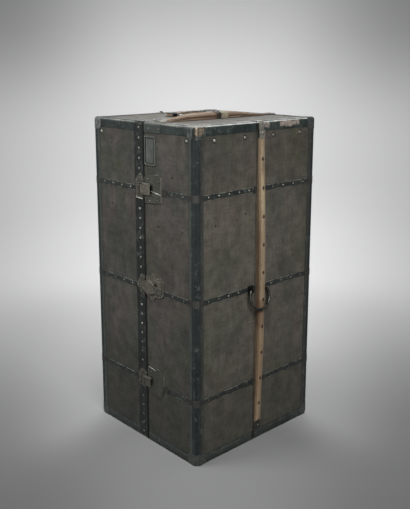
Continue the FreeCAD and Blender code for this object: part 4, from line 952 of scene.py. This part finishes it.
def makeLabelCard():
    low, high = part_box("label_holder")
    thick, inset = labelCard["thick"], labelCard["inset"]
    mesh = bmesh.new()
    bmesh.ops.create_cube(mesh, size=1.0)
    size = Vector((high.x - low.x - 2 * inset, thick, high.z - low.z - 2 * inset))
    centre = (low + high) / 2
    centre.y = high.y - labelCard["behind"] - thick / 2
    bmesh.ops.scale(mesh, vec=size, verts=mesh.verts)
    bmesh.ops.translate(mesh, vec=centre, verts=mesh.verts)
    finishPiece(mesh, "label_card", card, "right_half")


# A low dome that stands on a point and faces out
def addDome(mesh, base, out, radius, rise, rings=4, sides=14):
    turn = Vector(out).to_track_quat("Z", "Y").to_matrix()
    rows = []
    for ring in range(rings):
        lift = quarter * ring / rings
        reach = radius * math.cos(lift)
        row = []
        for step in range(sides):
            angle = 4 * quarter * step / sides
            place = Vector((reach * math.cos(angle), reach * math.sin(angle), rise * math.sin(lift)))
            row.append(mesh.verts.new(turn @ place + Vector(base)))
        rows.append(row)
    top = mesh.verts.new(turn @ Vector((0, 0, rise)) + Vector(base))
    mesh.faces.new(rows[0][::-1])
    for step in range(sides):
        after = (step + 1) % sides
        for lower, upper in zip(rows, rows[1:]):
            mesh.faces.new((lower[step], lower[after], upper[after], upper[step]))
        mesh.faces.new((rows[-1][step], rows[-1][after], top))


# A round bar from one point to another
def addBar(mesh, start, end, startRadius, endRadius):
    start, end = Vector(start), Vector(end)
    made = bmesh.ops.create_cone(mesh, cap_ends=True, segments=12, radius1=startRadius, radius2=endRadius,
                                 depth=(end - start).length)["verts"]
    bmesh.ops.rotate(mesh, cent=(0, 0, 0), matrix=(end - start).to_track_quat("Z", "Y").to_matrix(),
                     verts=made)
    bmesh.ops.translate(mesh, vec=(start + end) / 2, verts=made)


# Old tack holes in the canvas, each with a rusted tack: X and Z on the lock face, Y and Z on the side
tacks = {
    "sunk": 1.4 * mm, "radius": 3.2 * mm, "rise": 1.0 * mm,
    "lockFace": {"right_half": ((0.081, 0.768), (0.198, 0.769), (0.150, 0.935)),
                 "left_half": ((-0.168, 0.810), (-0.145, 0.803))},
    "sideFace": {"right_half": ((-0.060, 0.808), (-0.193, 0.789)), "left_half": ()},
}


def makeTacks():
    for body in ("right_half", "left_half"):
        mesh = bmesh.new()
        for x, z in tacks["lockFace"][body]:
            addDome(mesh, (x, tacks["sunk"] - halfDepth, z), (0, -1, 0), tacks["radius"], tacks["rise"])
        for y, z in tacks["sideFace"][body]:
            addDome(mesh, (halfWidth - tacks["sunk"], y, z), (1, 0, 0), tacks["radius"], tacks["rise"])
        finishPiece(mesh, body + "_tacks", steels["darkIron"], body, smooth=True)


# The separate heads of a node's rivets, each as its box's low and high corners
def headBoxes(node):
    places = [node.matrix_world @ vert.co for vert in node.data.vertices]
    group = list(range(len(places)))

    def root(item):
        while group[item] != item:
            group[item] = group[group[item]]
            item = group[item]
        return item

    for edge in node.data.edges:
        first, second = edge.vertices
        group[root(first)] = root(second)
    heads = {}
    for index, place in enumerate(places):
        heads.setdefault(root(index), []).append(place)
    return [(Vector([min(point[axis] for point in head) for axis in range(3)]),
             Vector([max(point[axis] for point in head) for axis in range(3)])) for head in heads.values()]


# Dark rings round each head on the case: painted shade, partly dirt gathered there
headShadeAndDirt = {"spread": 1.5, "rise": 0.4 * mm, "outside": 1.6 * mm, "above": 3 * mm}


# The heads on the runners stand further out than the case's own and get no ring.
def makeHeadShadeAndDirt():
    for body, name in (("left_half", "left_rivets"), ("right_half", "right_rivets")):
        mesh = bmesh.new()
        for low, high in headBoxes(nodes[name]):
            size, middle = high - low, (low + high) / 2
            if abs(middle.x) > halfWidth + headShadeAndDirt["outside"] or middle.z > caseTop + headShadeAndDirt["above"]:
                continue
            axis = min(range(3), key=lambda item: size[item])
            out = Vector((0, 0, 0))
            out[axis] = 1 if middle[axis] > 0 else -1
            base = middle - out * size[axis] / 2
            # A dark ring round the head: painted shade, partly dirt
            addDome(mesh, base, out, max(size) / 2 * headShadeAndDirt["spread"], headShadeAndDirt["rise"], rings=2)
        finishPiece(mesh, body + "_head_shade_and_dirt", steels["headShadeAndDirt"], body)


# Bright worn lips of the hardware: X and Z of each end, then the radius at each end
lips = {
    "plane": -278.2 * mm,
    "left_half": [((-0.027, 0.8515), (0.007, 0.8500), 1.9 * mm, 1.7 * mm)],
    "right_half": [((0.049, 0.8805), (0.098, 0.8730), 1.8 * mm, 1.0 * mm),
                   ((0.026, 0.2740), (0.060, 0.2690), 1.3 * mm, 0.9 * mm)],
}


def makeLips():
    for body in ("left_half", "right_half"):
        mesh = bmesh.new()
        for start, end, startRadius, endRadius in lips[body]:
            startPlace, endPlace = ((x, lips["plane"], z) for x, z in (start, end))
            addBar(mesh, startPlace, endPlace, startRadius, endRadius)
        finishPiece(mesh, body + "_lips", steels["brightSteel"], body, smooth=True)


# The sleeve behind the top runner's joint
sleeve = {"from": 0.6 * mm, "to": 27 * mm, "thick": 0.85 * mm, "play": 0.05 * mm, "crown": 7 * mm,
          "steps": 10}


def sleeveOutline(half, top):
    points = [Vector((-half, 0, 0)), Vector((-half, 0, top - sleeve["crown"]))]
    rise = sleeve["crown"]
    arc = (half * half + rise * rise) / (2 * rise)
    reach = math.asin(half / arc)
    for step in range(1, sleeve["steps"]):
        angle = -reach + 2 * reach * step / sleeve["steps"]
        points.append(Vector((arc * math.sin(angle), 0, top - arc + arc * math.cos(angle))))
    return points + [Vector((half, 0, top - sleeve["crown"])), Vector((half, 0, 0))]


def makeSleeve():
    low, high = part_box("top_runner")
    middle, rise = (low.x + high.x) / 2, high.z - caseTop
    mesh = bmesh.new()
    half = (high.x - low.x) / 2
    outer = sleeveOutline(half + sleeve["thick"], rise + sleeve["thick"])
    inner = sleeveOutline(half + sleeve["play"], rise + sleeve["play"])
    start = Vector((middle, sleeve["from"], caseTop))
    verts = [mesh.verts.new(point + start) for point in outer + inner[::-1]]
    face = mesh.faces.new(verts)
    made = bmesh.ops.extrude_face_region(mesh, geom=[face])["geom"]
    moved = [item for item in made if isinstance(item, bmesh.types.BMVert)]
    bmesh.ops.translate(mesh, vec=(0, sleeve["to"] - sleeve["from"], 0), verts=moved)
    finishPiece(mesh, "top_runner_sleeve", steels["creamSteel"], "right_half")


# Two bright tongues beside the handle, and a dark knob on the far top edge
handleTongues = {"x": -74 * mm, "middles": (-41 * mm, 92 * mm), "reach": 9 * mm, "lift": 3.2 * mm,
                 "radius": 3.1 * mm}
edgeKnob = {"place": (-255.5 * mm, 19 * mm), "lift": 0.4 * mm, "radius": 7 * mm, "rise": 4.4 * mm}


def makeTopTrifles():
    mesh = bmesh.new()
    x, z = handleTongues["x"], caseTop + handleTongues["lift"]
    reach, radius = handleTongues["reach"], handleTongues["radius"]
    for y in handleTongues["middles"]:
        addBar(mesh, (x, y - reach, z), (x, y + reach, z), radius, radius)
    finishPiece(mesh, "handle_tongues", steels["brightSteel"], "left_half", smooth=True)
    mesh = bmesh.new()
    base = (*edgeKnob["place"], caseTop + edgeKnob["lift"])
    addDome(mesh, base, (0, 0, 1), edgeKnob["radius"], edgeKnob["rise"])
    finishPiece(mesh, "left_edge_knob", steels["darkIron"], "left_half", smooth=True)


makeLabelCard()
makeTacks()
makeHeadShadeAndDirt()
makeLips()
makeSleeve()
makeTopTrifles()
print("pieces made")


# The floor's and wall's sizes and grey, the glow, and the level direction in which the camera looks
studio = {"floorRadius": 3.6, "bend": 2.0, "wallHeight": 3.4, "floorGrey": 0.30, "glow": 0.66,
          "towards": (-0.7342, 0.6789), "back": 2.5, "ahead": 0.4}


# A round pale floor that curves up into a wall all round
def makeStudio():
    mesh = bmesh.new()
    points = [Vector((0, 0, 0)), Vector((studio["floorRadius"], 0, 0))]
    for step in range(1, 9):
        angle = quarter * step / 8
        points.append(Vector((studio["floorRadius"] + studio["bend"] * math.sin(angle), 0,
                              studio["bend"] * (1 - math.cos(angle)))))
    points.append(Vector((studio["floorRadius"] + studio["bend"], 0, studio["bend"] + studio["wallHeight"])))
    verts = [mesh.verts.new(point) for point in points]
    edges = [mesh.edges.new(pair) for pair in zip(verts, verts[1:])]
    bmesh.ops.spin(mesh, geom=verts + edges, cent=(0, 0, 0), axis=(0, 0, 1), angle=2 * math.pi, steps=64,
                   use_merge=True, dvec=(0, 0, 0))
    bmesh.ops.remove_doubles(mesh, verts=mesh.verts, dist=1e-5)
    bmesh.ops.recalc_face_normals(mesh, faces=mesh.faces)
    data = bpy.data.meshes.new("studio_floor")
    mesh.to_mesh(data)
    mesh.free()
    data.shade_smooth()
    floor = bpy.data.objects.new("studio_floor", data)
    bpy.context.scene.collection.objects.link(floor)
    data.materials.append(paperMaterial())


# The paper's distance beyond the object, how far it lies to one side, and that as seen from the front
def paperPlaces(tree, x, y):
    wayX, wayY = studio["towards"]
    depth = plus(tree, times(tree, x, wayX), times(tree, y, wayY))
    across = maths(tree, "ABSOLUTE", minus(tree, times(tree, y, wayX), times(tree, x, wayY)))
    reach = maths(tree, "MAXIMUM", plus(tree, depth, studio["back"]), 0.4)
    return depth, across, maths(tree, "DIVIDE", across, reach)


# The glow's strength: dimmer to the sides, high up and near the object, with a faint pool on the floor
def glowStrength(tree, z, depth, across, spread, sides, edge, lower):
    upper = times(tree, remap(tree, z, 0.4, 1.7), 0.4)
    dim = minus(tree, 1.0, times(tree, edge, maths(tree, "MAXIMUM", upper, lower)))
    shifted = plus(tree, depth, studio["ahead"])
    radius = maths(tree, "SQRT", plus(tree, times(tree, shifted, shifted), times(tree, across, across)))
    away = remap(tree, radius, 0.4, 2.25)
    above = remap(tree, z, 0.6, 2.6, 1.0, 0.45)
    glow = times(tree, times(tree, away, above), times(tree, sides, dim))
    pool = times(tree, remap(tree, radius, 0.34, 0.6), remap(tree, radius, 1.9, 0.9),
                 remap(tree, spread, 0.34, 0.15, 0.0, 0.20), remap(tree, depth, -0.45, -0.1))
    return plus(tree, glow, pool)


# Grey paper, with a pale glow behind the object that only direct and mirrored views see
def paperMaterial():
    material, tree, shader, place = newMaterial("studioPaper", Roughness=0.9, Specular_IOR_Level=0.1)
    x, y, z = coordinates(tree, place)
    depth, across, spread = paperPlaces(tree, x, y)
    behind = remap(tree, depth, -0.9, -1.7)
    ahead = minus(tree, 1.0, behind)
    sides = plus(tree, times(tree, remap(tree, spread, 0.0, 0.46, 1.0, 0.45), ahead),
                 times(tree, behind, 0.8))
    edge = times(tree, remap(tree, spread, 0.08, 0.27), ahead)
    lower = times(tree, remap(tree, depth, 1.9, 0.9), 0.16)
    glow = glowStrength(tree, z, depth, across, spread, sides, edge, lower)
    # The paper's grey falls off to the sides, at the edges and towards the front: painted shade
    front = remap(tree, depth, -0.2, -0.7, 1.0, 0.8)
    dull = minus(tree, 1.0, times(tree, edge, lower, 0.8))
    floor = times(tree, sides, dull, front)
    path = addNode(tree, "ShaderNodeLightPath")
    seen = plus(tree, path.outputs["Is Camera Ray"], path.outputs["Is Glossy Ray"])
    seen = maths(tree, "ADD", seen, path.outputs["Is Transmission Ray"], clamp=True)
    shader.inputs["Emission Color"].default_value = (1, 1, 1, 1)
    feed(tree, times(tree, glow, seen, studio["glow"]), shader.inputs["Emission Strength"])
    grey = studio["floorGrey"]
    feed(tree, shade(tree, (grey, grey, grey), floor), shader.inputs["Base Color"])
    return material


lamps = [
    # name, place, aim, size, watts
    ("key_lamp", (2.3, -1.2, 2.4), (0.2, 0.0, 0.8), 1.4, 68.0),
    ("fill_lamp", (-1.1, -2.2, 2.3), (-0.05, -0.2, 0.8), 1.4, 42.0),
    ("top_lamp", (-0.4, 0.6, 3.4), (0.0, 0.0, 1.0), 2.4, 34.0),
    ("back_lamp", (-2.2, 2.6, 2.2), (0.0, 0.0, 0.6), 2.0, 26.0),
]

air = {"colour": (0.93, 0.95, 1.0, 1), "strength": 0.42}


def makeLamps():
    for name, place, aim, size, watts in lamps:
        light = bpy.data.lights.new(name, "AREA")
        light.shape = "SQUARE"
        light.size = size
        light.energy = watts
        lamp = bpy.data.objects.new(name, light)
        lamp.location = place
        lamp.rotation_euler = (Vector(aim) - Vector(place)).to_track_quat("-Z", "Y").to_euler()
        bpy.context.scene.collection.objects.link(lamp)
    world = bpy.data.worlds.new("studio_air")
    bpy.context.scene.world = world
    world.use_nodes = True
    sky = world.node_tree.nodes["Background"]
    sky.inputs["Color"].default_value = air["colour"]
    sky.inputs["Strength"].default_value = air["strength"]


camera = {"place": (1.8341, -1.6925, 1.2929), "way": (-0.7183, 0.6642, -0.2074), "lens": 51.1,
          "shiftY": -0.0829}


def makeCamera():
    data = bpy.data.cameras.new("camera")
    data.sensor_width = 36.0
    data.lens = camera["lens"]
    data.shift_y = camera["shiftY"]
    data.clip_start = 0.05
    data.clip_end = 40.0
    viewer = bpy.data.objects.new("camera", data)
    viewer.location = camera["place"]
    viewer.rotation_mode = "QUATERNION"
    viewer.rotation_quaternion = Vector(camera["way"]).to_track_quat("-Z", "Y")
    bpy.context.scene.collection.objects.link(viewer)
    bpy.context.scene.camera = viewer


makeStudio()
makeLamps()
makeCamera()
bpy.context.scene.view_settings.view_transform = "Standard"
print("studio set")
